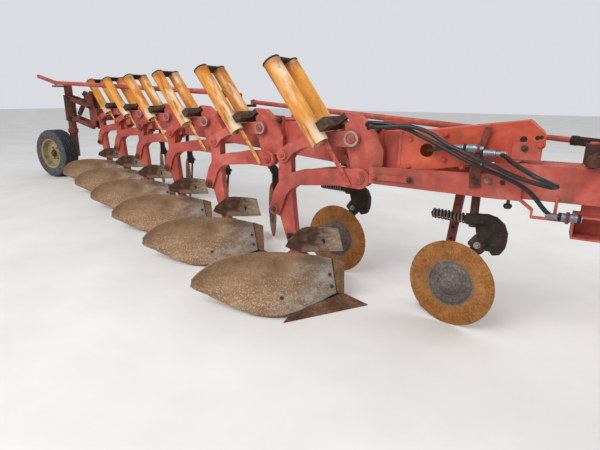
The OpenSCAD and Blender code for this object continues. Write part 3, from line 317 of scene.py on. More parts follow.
def board_skin():
    """Moldboard: speckled brown rust, worn grey towards the shin and low down."""
    g = Graph("worn_steel")
    along = g.axis("X")
    broad = g.noise(5, 5, 0.6)
    scour = g.noise(16, 6, 0.62, stretch=(0.30, 0.6, 1.0), bend=0.2)
    speckle = g.noise(110, 5, 0.8)
    coarse = g.noise(62, 5, 0.75, shift=(4, 0, 0))
    rust = g.ramp(g.plus(g.times(broad, 0.4), g.times(scour, 0.6)),
                  [(0.25, "5E452F"), (0.45, "836549"), (0.58, "96775A"), (0.78, "A98D6E")])
    steel = g.ramp(scour, [(0.3, "6E675F"), (0.5, "948E86"), (0.7, "BDB8AF")])
    bare = g.band(g.plus(along, g.times(scour, 0.55)), -0.36, -0.06)
    colour = g.mix(g.times(bare, 0.85), rust, steel)
    dots = g.band(speckle, 0.52, 0.60)
    colour = g.tint(colour, dots, 0.55, "5E3F29")
    light = g.band(g.noise(85, 4, 0.75, shift=(0, 7, 0)), 0.52, 0.62)
    sand = g.times(light, g.band(g.axis("Z"), 0.30, 0.05))
    colour = g.tint(colour, sand, 0.75, "CFAE8A")
    blotch = g.band(coarse, 0.60, 0.70)
    colour = g.tint(colour, blotch, 0.55, "6B4426")
    rough = g.plus(g.times(g.math("SUBTRACT", 1.0, bare), 0.28), 0.42)
    metal = g.times(bare, 0.55)
    bumps = (scour, 0.0008), (dots, 0.0004), (blotch, 0.0006)
    return g.close(colour, rough, metal, bumps=bumps, specular=0.4)


def blade_skin():
    """Coulter disc: orange brown rust in rings, with faint rays near the rim."""
    g = Graph("disc_rust")
    centre = g.node("ShaderNodeVectorMath", operation="LENGTH")
    flat = g.node("ShaderNodeMapping")
    g.put(flat.inputs["Vector"], g.place)
    flat.inputs["Scale"].default_value = (1, 1, 0)
    g.put(centre.inputs[0], flat.outputs[0])
    radius = centre.outputs["Value"]
    rings = g.node("ShaderNodeTexNoise", noise_dimensions="1D")
    g.put(rings.inputs["W"], g.times(radius, 60.0))
    rings.inputs["Detail"].default_value = 4.0
    broad = g.noise(9, 5, 0.65)
    fine = g.noise(170, 4, 0.7)
    value = g.plus(g.times(broad, 0.6), g.times(rings.outputs["Fac"], 0.4))
    colour = g.ramp(value, [(0.32, "5A3317"), (0.46, "8E5A28"), (0.58, "A9713A"), (0.74, "C08C52")])
    hub = g.band(radius, 0.160, 0.128)
    colour = g.tint(colour, hub, 0.8, "6E6254")
    around = g.math("ARCTAN2", g.axis("Y"), g.axis("X"))
    rays = g.noise(1.0, 4, 0.7, of=g.join(g.times(around, 22.0), g.times(radius, 34.0), 0.0))
    pale = g.band(rays, 0.50, 0.64)
    colour = g.tint(colour, pale, 0.35, "C08A50")
    dark = g.band(rays, 0.48, 0.36)
    colour = g.tint(colour, dark, 0.5, "6E3C18")
    dots = g.band(fine, 0.56, 0.66)
    colour = g.tint(colour, dots, 0.5, "5A3216")
    return g.close(colour, 0.62, 0.25, bumps=((rings.outputs["Fac"], 0.0009), (fine, 0.0004)), specular=0.4)


def tyre_skin():
    """Weathered rubber: blue-grey tread, paler dusty sidewalls."""
    g = Graph("tyre_rubber")
    side = g.math("ABSOLUTE", g.facing("Y"))
    dust = g.noise(26, 6, 0.65)
    fine = g.noise(240, 3, 0.6)
    tread = g.ramp(dust, [(0.32, "1E2024"), (0.55, "34373C"), (0.75, "55524C")])
    wall = g.ramp(dust, [(0.32, "3A3A3B"), (0.55, "59585A"), (0.75, "7B766D")])
    colour = g.mix(g.band(side, 0.35, 0.8), tread, wall)
    crack = g.band(g.cells(130), 0.05, 0.0)
    colour = g.tint(colour, crack, 0.4, "161617")
    return g.close(colour, 0.86, bumps=((dust, 0.0008), (fine, 0.0003), (crack, -0.0006)), specular=0.3)


def hose_skin():
    """Black hose with a fine wrap and a dusty grey sheen."""
    g = Graph("hose_rubber")
    dust = g.noise(30, 5, 0.65)
    weave = g.noise(420, 2, 0.5, stretch=(1, 1, 3))
    colour = g.ramp(dust, [(0.35, "0D0D0F"), (0.6, "1D1E21"), (0.8, "3C3D40")])
    return g.close(colour, 0.42, bumps=((weave, 0.0003), (dust, 0.0003)), specular=0.5)


def reset_skin():
    """Thin reset rods: ochre, but painted red on the front bottom."""
    g = Graph("reset_rod_paint")
    streak = g.noise(30, 5, 0.6)
    ochre = g.ramp(streak, [(0.32, "9A5A24"), (0.5, "CF8F45"), (0.7, "E2C08A")])
    red = g.ramp(streak, [(0.32, "7E332B"), (0.5, "A84A3E"), (0.7, "C97867")])
    front = place(-0.8, 0, 0).x
    colour = g.mix(g.band(g.axis("X"), front - 0.05, front + 0.05), ochre, red)
    return g.close(colour, 0.65, bumps=((streak, 0.0006),), specular=0.3)


def cover_skin():
    """Cover board: dark brown painted shade at its rear, scoured tan and grey with a painted highlight towards the
    front.
    """
    g = Graph("cover_steel")
    scratch = g.noise(20, 6, 0.65, stretch=(0.3, 0.6, 1.0), bend=0.3)
    speckle = g.noise(130, 5, 0.75)
    # Rear dark brown: painted shade of the board's concave inner side; front pale: scouring with a painted
    # highlight
    front = g.band(g.plus(g.axis("X"), g.times(scratch, 0.16)), -0.42, -0.27)
    dark = g.ramp(scratch, [(0.32, "33221A"), (0.5, "553A29"), (0.68, "7A5A3E")])
    pale = g.ramp(scratch, [(0.32, "64503E"), (0.5, "8C7864"), (0.68, "AFA393")])
    colour = g.mix(front, dark, pale)
    dots = g.band(speckle, 0.55, 0.64)
    colour = g.tint(colour, dots, 0.5, "3C2617")
    return g.close(colour, 0.62, 0.2, bumps=((scratch, 0.0009), (dots, 0.0004)), specular=0.4)


PAINT = painted("paint", "7E332B", "B14E41", "CB7364", grime=0.50)
BOX_PAINT = painted("box_paint", "8A2E1E", "B5442C", "C96548", grime=0.40, shift=3.0)
RUSTY_IRON = rusty("rusty_iron", "2C1D17", "4C3327", "744B36")
SPRING_IRON = rusty("spring_iron", "3B2E2A", "6B5750", "948078", grain=90)
RED_IRON = rusty("red_iron", "3A1F18", "6E3A2E", "95584A", grain=42)
DARK_IRON = rusty("dark_iron", "171311", "2B221D", "4A3A2E", grain=80)
NUT_IRON = rusty("nut_iron", "221A16", "40302A", "6E5142", grain=120)
SEAT_RUST = rusty("seat_rust", "2A1E19", "4A362D", "74584A", grain=34)
HUB_GREY = rusty("hub_grey", "38312F", "5C5350", "8A7F79", grain=70, metal=0.2, rough=0.6)
SHIN_RUST = rusty("shin_rust", "4A3020", "7C5B42", "A58A6C", grain=70, metal=0.2, rough=0.65)
STAND_RUST = rusty("stand_rust", "4A2A26", "7B4640", "A0665A", grain=26)
BRIGHT = rusty("washer_steel", "4A4039", "8B8178", "C3BCB2", grain=90, metal=0.5, rough=0.45)
SHARE_RUST = rusty("share_rust", "3B251A", "6A4734", "96745A", metal=0.3, rough=0.6)
COUPLER = rusty("coupler_silver", "5B5F66", "868B93", "B9BEC4", metal=0.75, rough=0.36)
RIM_CREAM = painted("rim_cream", "6E5A3E", "9C8C68", "BCAC88", chips=0.95, grime=0.7)
TUBE = tube_skin()
COVER_SKIN = cover_skin()
RESET_SKIN = reset_skin()
BOARD_SKIN = board_skin()
BLADE_SKIN = blade_skin()
TYRE = tyre_skin()
HOSE = hose_skin()

SLOT_MATERIAL = {
    "paint": PAINT, "box_paint": BOX_PAINT, "tube_ochre": TUBE, "rusty_iron": RUSTY_IRON,
    "dark_iron": DARK_IRON, "worn_steel": BOARD_SKIN, "disc_rust": BLADE_SKIN,
    "coupler_silver": COUPLER, "rim_cream": RIM_CREAM, "tyre": TYRE, "hose_rubber": HOSE,
}
NODE_MATERIAL = {
    "shares": SHARE_RUST, "landsides": SHARE_RUST, "shins": SHIN_RUST, "spring_seats": SEAT_RUST,
    "rear_bracket": RED_IRON, "tail_post": RED_IRON, "tail_link_lower": RED_IRON,
    "tail_link_upper": RED_IRON, "steer_rod_rear": PAINT, "parking_stand": STAND_RUST,
    "hose_holder": RED_IRON, "heel_bolts": RED_IRON, "reset_rods": RESET_SKIN,
}
# Nodes by the start of their names whose edges stay as they are
NOT_BEVELLED = (
    "coulter_arm", "coulter_disc", "couplers", "cover_boards", "hoses", "moldboards", "shins",
    "spring_seats", "spring_tubes", "steer_rod", "tail_cylinder_rod", "tail_rim", "tail_tyre")
BEVEL_WIDTH = 0.002
SOFT_BEVEL = {"goosenecks": 0.006, "standards": 0.004, "rocker_arms": 0.003, "unit_brackets": 0.003,
              "frogs": 0.006, "front_box": 0.003, "tongue": 0.003}


def dress_nodes():
    """Gives every CAD node the material of its record slot, and rounds the edges of the nodes not named in
    NOT_BEVELLED a little.
    """
    for row in frame["record"]["subparts"]:
        name = row["node"]
        node = frame["nodes"][name]
        node.data.materials.clear()
        node.data.materials.append(NODE_MATERIAL.get(name, SLOT_MATERIAL[row["material_slot"]]))
        if not name.startswith(NOT_BEVELLED):
            weld = node.modifiers.new("weld", "WELD")
            weld.merge_threshold = 0.00005
            flat = node.modifiers.new("flat", "DECIMATE")
            flat.decimate_type = "DISSOLVE"
            flat.angle_limit = math.radians(0.5)
            bevel = node.modifiers.new("bevel", "BEVEL")
            bevel.width = SOFT_BEVEL.get(name, BEVEL_WIDTH)
            bevel.segments = 2
            bevel.limit_method = "ANGLE"
            bevel.angle_limit = math.radians(40)
            normal = node.modifiers.new("normal", "WEIGHTED_NORMAL")
            normal.keep_sharp = True


dress_nodes()


def ring_faces(rows, sides):
    """Faces between stacked rings of vertices, with both ends closed."""
    faces = []
    for r in range(rows - 1):
        for k in range(sides):
            n = (k + 1) % sides
            faces.append([r * sides + k, r * sides + n, (r + 1) * sides + n, (r + 1) * sides + k])
    last = (rows - 1) * sides
    return faces + [list(range(sides)), list(range(last, last + sides))]


class Shape:
    """Vertices and faces of one piece, gathered part by part."""

    def __init__(self):
        self.verts = []
        self.faces = []

    def add(self, verts, faces, at=Matrix()):
        base = len(self.verts)
        self.verts += [at @ Vector(v) for v in verts]
        self.faces += [[base + k for k in face] for face in faces]

    def revolve(self, profile, sides=24, at=Matrix(), loop=False, wave=None):
        """Turns a profile of radius and height pairs about Z."""
        verts, rings = [], []
        for radius, height in profile:
            count = 1 if radius == 0 else sides
            rings.append([len(verts) + k for k in range(count)])
            for k in range(count):
                turn = 2 * math.pi * k / sides
                lift = wave(radius, turn) if wave else 0.0
                verts.append((radius * math.cos(turn), radius * math.sin(turn), height + lift))
        pairs = list(zip(rings, rings[1:])) + ([(rings[-1], rings[0])] if loop else [])
        faces = []
        for a, b in pairs:
            for k in range(sides):
                corners = (a[k % len(a)], a[(k + 1) % len(a)], b[(k + 1) % len(b)], b[k % len(b)])
                face = list(dict.fromkeys(corners))
                if len(face) > 2:
                    faces.append(face)
        self.add(verts, faces, at)

    def ring(self, bore, radius, height, sides, at):
        """Ring about Z with its outer rims cut."""
        lip = 0.002
        outer = [(radius - lip, 0), (radius, lip), (radius, height - lip), (radius - lip, height)]
        self.revolve([(bore, 0)] + outer + [(bore, height)], sides, at, loop=True)

    def block(self, low, high, at=Matrix(), chamfer=0.0015):
        """Box with its edges cut, between two corners."""
        (x0, y0, z0), (x1, y1, z1) = low, high
        rows = [(z0, chamfer), (z0 + chamfer, 0.0), (z1 - chamfer, 0.0), (z1, chamfer)]
        verts = []
        for z, inset in rows:
            a, b, d, e = x0 + inset, x1 - inset, y0 + inset, y1 - inset
            k = chamfer - inset
            verts += [(x, y, z) for x, y in (
                (a + k, d), (b - k, d), (b, d + k), (b, e - k),
                (b - k, e), (a + k, e), (a, e - k), (a, d + k))]
        self.add(verts, ring_faces(4, 8), at)

    def plate(self, outline, y0, y1, at=Matrix(), chamfer=0.002):
        """Flat plate of an outline in X and Z between two Y, with its rims cut."""
        points = [Vector((x, 0, z)) for x, z in outline]
        middle = sum(points, Vector()) / len(points)
        inner = [p + (middle - p).normalized() * chamfer * 1.4 for p in points]
        rows = [(y0, inner), (y0 + chamfer, points), (y1 - chamfer, points), (y1, inner)]
        verts = [(p.x, y, p.z) for y, ring in rows for p in ring]
        self.add(verts, ring_faces(4, len(points)), at)

    def sweep(self, path, radius, sides=12, at=Matrix()):
        """Round bar along a path."""
        points = [Vector(p) for p in path]
        verts = []
        side = None
        for k, point in enumerate(points):
            ahead = (points[min(k + 1, len(points) - 1)] - points[max(k - 1, 0)]).normalized()
            if side is None:
                side = ahead.orthogonal().normalized()
            side = (side - ahead * side.dot(ahead)).normalized()
            other = ahead.cross(side)
            for n in range(sides):
                turn = 2 * math.pi * n / sides
                verts.append(point + radius * (side * math.cos(turn) + other * math.sin(turn)))
        self.add(verts, ring_faces(len(points), sides), at)

    def bolt(self, at, size, grip=0.35, washer=True):
        """Hexagon nut with washer and thread end; its foot is on the surface, Z outwards."""
        foot = 0.0
        if washer:
            foot = size * 0.14
            wide = size * 1.06
            self.revolve([(0, 0), (wide, 0), (wide, foot * 0.7), (size * 0.98, foot), (0, foot)], 20, at)
        top = foot + size * 0.8
        across = size * 0.88
        nut = [(0, foot), (across, foot), (across, top - size * 0.14), (size * 0.72, top), (0, top)]
        self.revolve(nut, 6, at)
        if grip:
            end = top + size * grip
            core = size * 0.46
            thread = [(0, top), (core, top), (core, end - size * 0.08), (size * 0.38, end), (0, end)]
            self.revolve(thread, 12, at)

    def build(self, name, material, body="frame", at=Matrix(), sharp=34, replaces=()):
        """Makes the Blender piece, which rides on a body."""
        data = bpy.data.meshes.new(name)
        data.from_pydata([tuple(v) for v in self.verts], [], self.faces)
        mesh = bmesh.new()
        mesh.from_mesh(data)
        bmesh.ops.remove_doubles(mesh, verts=mesh.verts, dist=0.000005)
        bmesh.ops.dissolve_degenerate(mesh, edges=mesh.edges, dist=0.000005)
        bmesh.ops.recalc_face_normals(mesh, faces=mesh.faces)
        for face in mesh.faces:
            face.smooth = True
        for edge in mesh.edges:
            edge.smooth = edge.calc_face_angle(0.0) < math.radians(sharp)
        mesh.to_mesh(data)
        mesh.free()
        data.materials.append(material)
        piece = bpy.data.objects.new(name, data)
        piece.matrix_world = at
        bpy.context.scene.collection.objects.link(piece)
        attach(piece, body)
        if replaces:
            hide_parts(*replaces)


# Turns that make Z face out along an axis
OUT = {
    "Z": Matrix(), "-Z": Matrix.Rotation(math.pi, 4, "X"),
    "Y": Matrix.Rotation(-math.pi / 2, 4, "X"), "-Y": Matrix.Rotation(math.pi / 2, 4, "X"),
    "X": Matrix.Rotation(math.pi / 2, 4, "Y"), "-X": Matrix.Rotation(-math.pi / 2, 4, "Y"),
}
SIDES = ((-1, "-Y"), (1, "Y"))


def moved(x, y, z):
    """Matrix that shifts by metres."""
    return Matrix.Translation((x, y, z))


def aimed(point, direction):
    """Matrix at a point with Z along a direction."""
    return Matrix.Translation(point) @ direction.to_track_quat("Z", "Y").to_matrix().to_4x4()


def pose(x, y, z, out="Z", bottom=0, turn=0.0):
    """Matrix at a point in plough millimetres, with Z turned to face out along an axis."""
    spin = Matrix.Rotation(math.radians(turn), 4, "Z")
    return Matrix.Translation(place(x / 1000, y / 1000, z / 1000, bottom)) @ spin @ OUT[out]


def spline(table, at):
    """Smooth curve through the rows of a table, with at counted in rows."""
    last = len(table) - 1
    i = min(int(at), last - 1)
    t = at - i
    rows = [table[max(i - 1, 0)], table[i], table[i + 1], table[min(i + 2, last)]]
    return [0.5 * (2 * b + (c - a) * t + (2 * a - 5 * b + 4 * c - d) * t * t
                   + (3 * b - a - 3 * c + d) * t ** 3) for a, b, c, d in zip(*rows)]


# Stations of the moldboard and the cover board, as in the part's source, in millimetres:
# bottom edge X, Y, Z, top edge X, Y, Z and belly.
BOARD = [
    [-352, -24, 58, -398, -22, 284, 0], [-415, -190, 42, -495, -100, 315, 30],
    [-510, -400, 30, -600, -160, 330, 52], [-664, -470, 20, -690, -230, 340, 60],
    [-782, -481, 30, -790, -315, 344, 50], [-958, -487, 52, -900, -420, 330, 36],
    [-1056, -500, 80, -985, -495, 292, 22], [-1110, -527, 105, -1060, -540, 228, 10],
    [-1133, -540, 128, -1112, -549, 172, 3],
]
COVER = [
    [-318, -22, 352, -360, -20, 490, 0], [-420, -130, 362, -440, -90, 505, 25],
    [-500, -250, 385, -520, -190, 512, 30], [-570, -315, 425, -555, -300, 455, 6],
]


def board_point(table, u, v):
    """Point on the face in metres at station u and height v."""
    row = spline(table, u)
    low, high = Vector(row[:3]), Vector(row[3:6])
    rise = high - low
    out = Vector((0, rise.z, -rise.y)).normalized()
    return (low + rise * v + out * row[6] * 4 * v * (1 - v)) / 1000


def board_frame(table, u, v):
    """Point and outward normal of the face."""
    e = 0.02
    last = len(table) - 1
    ua, ub = max(u - e, 0), min(u + e, last - 0.001)
    va, vb = max(v - e, 0), min(v + e, 1)
    du = board_point(table, ub, v) - board_point(table, ua, v)
    dv = board_point(table, u, vb) - board_point(table, u, va)
    return board_point(table, u, v), dv.cross(du).normalized()


def curved_plate(shape, table, thick, per_row, rows):
    """Curved plate, with its thickness behind its face."""
    last = (len(table) - 1) * per_row
    width = rows + 1
    verts = []
    for depth in (0.0, thick):
        for i in range(last + 1):
            for j in range(width):
                point, normal = board_frame(table, i / per_row, j / rows)
                verts.append(point - normal * depth)
    back = len(verts) // 2
    faces = []
    for i in range(last):
        for j in range(rows):
            a = i * width + j
            b = a + width
            faces.append([a, a + 1, b + 1, b])
            faces.append([back + a, back + b, back + b + 1, back + a + 1])
    rim = [i * width for i in range(last + 1)] + [last * width + j for j in range(1, width)]
    rim += [i * width + rows for i in range(last - 1, -1, -1)] + [j for j in range(rows - 1, 0, -1)]
    for a, b in zip(rim, rim[1:] + rim[:1]):
        faces.append([a, b, back + b, back + a])
    shape.add(verts, faces)


def on_board(table, u, v):
    """Matrix on the face at station u and height v, Z outwards."""
    return aimed(*board_frame(table, u, v))


PLOW_HEAD = [(0, -0.001), (0.0125, -0.001), (0.0125, 0.0006), (0.011, 0.0014), (0.004, 0.0016), (0, 0.0012)]
COVER_ARM = [(-0.690, 0.395), (-0.418, 0.395), (-0.418, 0.430), (-0.690, 0.430)]
BOARD_BOLTS = ((0.30, 0.22), (0.32, 0.55), (2.4, 0.30))


def make_boards():
    """Moldboards and cover boards, each with its bolts."""
    for i in BOTTOMS:
        home = home_of(i)
        shape = Shape()
        curved_plate(shape, BOARD, 0.009, 9, 22)
        shape.build(f"moldboard_{i + 1}", BOARD_SKIN, "frame", home, sharp=40,
                    replaces=("moldboards",))
        shape = Shape()
        curved_plate(shape, COVER, 0.007, 10, 12)
        shape.build(f"cover_board_{i + 1}", COVER_SKIN, "frame", home, sharp=40,
                    replaces=("cover_boards",))
        arm = Shape()
        arm.plate(COVER_ARM, -0.0933, -0.0833)
        for x in (-0.670, -0.640):
            arm.bolt(moved(x, -0.0933, 0.4125) @ OUT["-Y"], 0.010)
        arm.build(f"cover_arm_{i + 1}", DARK_IRON, at=home)
        heads = Shape()
        for u, v in BOARD_BOLTS:
            heads.revolve(PLOW_HEAD, 18, on_board(BOARD, u, v))
        heads.build(f"moldboard_bolts_{i + 1}", NUT_IRON, at=home, sharp=30)
        # Dark strip along the board's front edge: painted shade in the gap at the shin
        shade_line = Shape()
        line = []
        for k in range(13):
            point, normal = board_frame(BOARD, 0.0, k / 12)
            line.append(point - normal * 0.0015 + Vector((0.0015, 0, 0)))
        shade_line.sweep(line, 0.0032, 8)
        shade_line.build(f"moldboard_seam_{i + 1}", DARK_IRON, at=home, sharp=60)


make_boards()


# Coulters: place of the shank, turn of each and the disc's axle, in millimetres.
COULTER_X = 423
COULTER_TURN = (-13, -10, -50, -44, -40, -38)
DISC_TRAIL = 92
DISC_Z = 254
DISC_R = 0.254
SPRING_Z = 652
HUB = [
    (0, -0.0345), (0.018, -0.0345), (0.022, -0.031), (0.024, -0.026), (0.044, -0.0235), (0.048, -0.018),
    (0.066, -0.0155), (0.070, -0.0125), (0.073, -0.0165), (0.100, -0.0155), (0.106, -0.0175),
    (0.112, -0.0125), (0.122, -0.0095), (0.126, -0.0065), (0.126, 0.0065), (0.118, 0.0095),
    (0.062, 0.012), (0.050, 0.026), (0.030, 0.0275), (0.0125, 0.028), (0.0125, 0.055), (0, 0.055)]


def ripple(radius, turn):
    """Shallow waves of a disc towards its rim."""
    grow = max(0.0, min(1.0, (radius - 0.15) / 0.09))
    return 0.0016 * grow * math.sin(turn * 40)


def make_coulters():
    """Discs with their hubs, and the arms with real cushion springs."""
    for i in BOTTOMS:
        turn = COULTER_TURN[i]
        shank = pose(COULTER_X, 0, 0, bottom=i, turn=turn)
        axle = shank @ moved(-DISC_TRAIL / 1000, 0, DISC_Z / 1000) @ OUT["Y"]
        disc = f"coulter_disc_{i + 1}"
        blade = Shape()
        rim = [(r, -0.0022) for r in (0.04, 0.10, 0.14, 0.155, 0.17, 0.185, 0.20, 0.215, 0.23)]
        edge = DISC_R - 0.0004
        face = rim + [(0.242, -0.0019), (edge, -0.0003), (edge, 0.0003), (0.242, 0.0019)]
        face += [(r, 0.0022) for r, _ in reversed(rim)]
        blade.revolve(face, 240, loop=True, wave=ripple)
        blade.build(f"coulter_blade_{i + 1}", BLADE_SKIN, disc, axle, sharp=42, replaces=(disc,))
        hubs = Shape()
        hubs.revolve(HUB, 56)
        for k in range(5):
            spin = Matrix.Rotation(2 * math.pi * k / 5, 4, "Z") @ moved(0.088, 0, -0.0152)
            hubs.bolt(spin @ OUT["-Z"], 0.0085, grip=0.15, washer=False)
        hubs.build(f"coulter_hub_{i + 1}", HUB_GREY, disc, axle, sharp=35)
        make_casting(i, shank)


# Middle line of the arm's casting, in metres from the shank: X, Z, half thickness in its
# plane and half width across it.
CASTING = (
    (-0.030, 0.654, 0.027, 0.030), (0.000, 0.656, 0.034, 0.034), (0.034, 0.662, 0.028, 0.030),
    (0.070, 0.668, 0.027, 0.028), (0.104, 0.658, 0.031, 0.029), (0.130, 0.634, 0.037, 0.031),
    (0.142, 0.600, 0.041, 0.032), (0.143, 0.566, 0.040, 0.033), (0.138, 0.536, 0.042, 0.032),
    (0.128, 0.512, 0.038, 0.030), (0.112, 0.500, 0.026, 0.026))
ARM_Y = 0.042


def make_casting(i, shank):
    """The bent arm casting with its web, clamp and blade arm, and the cushion spring."""
    body = f"coulter_arm_{i + 1}"
    cast = Shape()
    sides = 20
    verts = []
    count = len(CASTING)
    for k, (x, z, thick, width) in enumerate(CASTING):
        a, b = CASTING[max(k - 1, 0)], CASTING[min(k + 1, count - 1)]
        ahead = Vector((b[0] - a[0], 0, b[1] - a[1])).normalized()
        up = Vector((-ahead.z, 0, ahead.x))
        for n in range(sides):
            turn = 2 * math.pi * n / sides
            c, d = math.cos(turn), math.sin(turn)
            c, d = math.copysign(abs(c) ** 0.6, c), math.copysign(abs(d) ** 0.6, d)
            verts.append(Vector((x, 0, z)) + up * thick * c + Vector((0, width * d, 0)))
    cast.add(verts, ring_faces(count, sides))
    cast.plate([(0.010, 0.640), (0.110, 0.640), (0.120, 0.540), (0.070, 0.520), (0.030, 0.560)],
               -0.008, 0.010)
    cast.plate([(0.060, 0.488), (0.150, 0.490), (0.154, 0.520), (0.146, 0.546), (0.060, 0.540)], 0.010, 0.050)
    cast.build(f"coulter_casting_{i + 1}", DARK_IRON, body, shank, sharp=45,
               replaces=(f"coulter_arm_{i + 1}",))
    clamp = Shape()
    tilted = moved(0.030, ARM_Y - 0.004, 0.508) @ Matrix.Rotation(math.radians(35), 4, "Y")
    clamp.block((-0.050, -0.024, -0.036), (0.046, 0.024, 0.036), tilted, chamfer=0.009)
    clamp.bolt(tilted @ moved(0, 0.024, 0) @ OUT["Y"], 0.017, grip=0.3)
    trail, low = -DISC_TRAIL / 1000, DISC_Z / 1000
    head = Vector((0.03, 0, 0.50))
    along = (head - Vector((trail, 0, low))).normalized()
    side = Vector((along.z, 0, -along.x))
    foot = Vector((trail, 0, low)) + along * 0.022
    corners = [foot - side * 0.019, head - side * 0.034, head + side * 0.034, foot + side * 0.019]
    clamp.plate([(c.x, c.z) for c in corners], 0.035, 0.049)
    clamp.ring(0.0132, 0.030, 0.014, 32, moved(trail, 0.035, low) @ OUT["Y"])
    clamp.build(f"coulter_clamp_{i + 1}", NUT_IRON, body, shank)
    bolt = Shape()
    bolt.bolt(tilted @ moved(0, -0.0238, 0) @ OUT["-Y"], 0.018, grip=0.3)
    bolt.build(f"coulter_clamp_bolt_{i + 1}", BRIGHT, body, shank)
    spring = Shape()
    back = moved(0, 0, SPRING_Z / 1000) @ OUT["-X"]
    turns, sides_of_turn = 9, 20
    start, length, radius = 0.040, 0.182, 0.0245
    coil = []
    for k in range(turns * sides_of_turn + 1):
        angle = 2 * math.pi * k / sides_of_turn
        rise = length * k / (turns * sides_of_turn)
        coil.append((radius * math.cos(angle), radius * math.sin(angle), start + rise))
    spring.sweep(coil, 0.0052, 8, back)
    spring.build(f"coulter_spring_{i + 1}", SPRING_IRON, body, shank, sharp=60)
    seats = Shape()
    seats.revolve([(0, 0.02), (0.031, 0.02), (0.031, 0.034), (0.026, 0.040), (0.0165, 0.042), (0.0165, 0.216),
                   (0.024, 0.219), (0.027, 0.222), (0.027, 0.228), (0.022, 0.231), (0, 0.231)], 28, back)
    seats.bolt(back @ moved(0, 0, 0.229), 0.013, grip=0.3, washer=False)
    seats.build(f"coulter_spring_seats_{i + 1}", DARK_IRON, body, shank, sharp=35)


make_coulters()


# Tail wheel, in millimetres
POST = (-6099.96, 2280.09)
WHEEL = (POST[0] - 150, POST[1] - 230, 371)


def make_wheel():
    """Ribbed tyre on the dished rim, with the hub and its nuts."""
    home = pose(*WHEEL, out="-Y")
    tyre = Shape()
    half, top, rim = 0.1275, 0.371, 0.235
    side = [(rim + r, half - z) for r, z in (
        (0.0005, 0.016), (0.012, 0.010), (0.028, 0.005), (0.050, 0.001), (0.070, 0), (0.085, 0.001),
        (0.098, 0.0025))]
    side += [(top - r, half - z) for r, z in (
        (0.030, 0.004), (0.018, 0.008), (0.008, 0.018), (0.0035, 0.028))]
    ribs = [(top - 0.002, 0.096)]
    for centre in (0.080, 0.040):
        ribs += [(top, centre + 0.013), (top, centre + 0.006), (top - 0.011, centre + 0.0045),
                 (top - 0.011, centre - 0.0045), (top, centre - 0.006), (top, centre - 0.013)]
    ribs += [(top, 0.006), (top - 0.011, 0.0045)]
    upper = side + ribs
    profile = upper + [(r, -z) for r, z in reversed(upper)]
    tyre.revolve(profile, 128, loop=True)
    tyre.build("tyre_body", TYRE, "tail_wheel", home, replaces=("tail_tyre",))
    hub = Shape()
    hub.revolve([(0.0302, 0.050), (0.064, 0.050), (0.0665, 0.053), (0.062, 0.058), (0.050, 0.060),
                 (0.046, 0.066), (0.0302, 0.066)], 40, loop=True)
    for k in range(6):
        spin = Matrix.Rotation(2 * math.pi * k / 6, 4, "Z") @ moved(0.098, 0, 0.024)
        hub.bolt(spin, 0.013, grip=0.5)
    hub.build("wheel_nuts", NUT_IRON, "tail_wheel", home)
    cap = Shape()
    cap.revolve([(0, 0.060), (0.026, 0.060), (0.0285, 0.062), (0.0285, 0.082), (0.026, 0.088),
                 (0.014, 0.091), (0, 0.092)], 32)
    cap.build("axle_cap", RED_IRON, "tail_post", home)


make_wheel()


# Hose routes as in the part's source, in plough millimetres, led on over the rear bracket
HOSE_ROUTES = {
    "feed": [
        [-168, -118, 1135], [-150, -135, 1150], [-110, -149, 1151], [-48, -147, 1148],
        [12, -147, 1138], [79, -147, 1120], [138, -150, 1095], [203, -164, 1070],
        [283, -184, 1036], [361, -200, 1000], [420, -200, 975],
        [477, -186, 950], [552, -162, 921], [632, -149, 884], [690, -149, 842], [736, -149, 790],
        [772, -149.3, 758], [804.5, -149.3, 754.4]],
    "loop": [
        [-150, -140, 1121], [-128, -160, 1129], [-90, -172, 1130], [-40, -175, 1134], [20, -176, 1140],
        [90, -176, 1140], [150, -176, 1128], [201, -178, 1108], [282, -196, 1064], [361, -216, 1034],
        [430, -224, 1006], [500, -220, 980], [570, -215, 948], [640, -215, 925], [700, -230, 912],
        [752, -262, 908], [778, -300, 918], [752, -340, 936], [700, -345, 956], [640, -300, 980],
        [585, -230, 1002],
        [552, -174, 1018], [528, -151, 1026], [505, -149.3, 1027]],
    "stub": [
        [165, -80, 1016], [168, -106, 1018], [186, -130, 1023], [224, -145, 1033], [285, -149.3, 1043],
        [325, -149.3, 1046], [351, -149.3, 1046]],
}
HOSE_RADIUS = 0.0108


def make_hoses():
    """Hydraulic hoses on their routes, with crimped ferrules at the ends."""
    ferrules = Shape()
    for name, route in HOSE_ROUTES.items():
        shape = Shape()
        steps = (len(route) - 1) * 8
        path = [place(*(c / 1000 for c in spline(route, k / 8))) for k in range(steps + 1)]
        shape.sweep(path, HOSE_RADIUS, 16)
        shape.build(f"hose_{name}", HOSE, "frame", sharp=60, replaces=("hoses",))
        at = aimed(path[-1], (path[-1] - path[-4]).normalized())
        crimp = [(0, 0.001), (0.012, 0.001)]
        for k in range(7):
            z = -0.004 - k * 0.006
            crimp += [(0.0142, z), (0.0142, z - 0.0035), (0.0132, z - 0.0045)]
        crimp += [(0.0115, -0.052), (0, -0.052)]
        ferrules.revolve(crimp, 20, at)
    ferrules.build("hose_ferrules", COUPLER, "frame", sharp=40)


make_hoses()


COUPLER_Y = -149.3


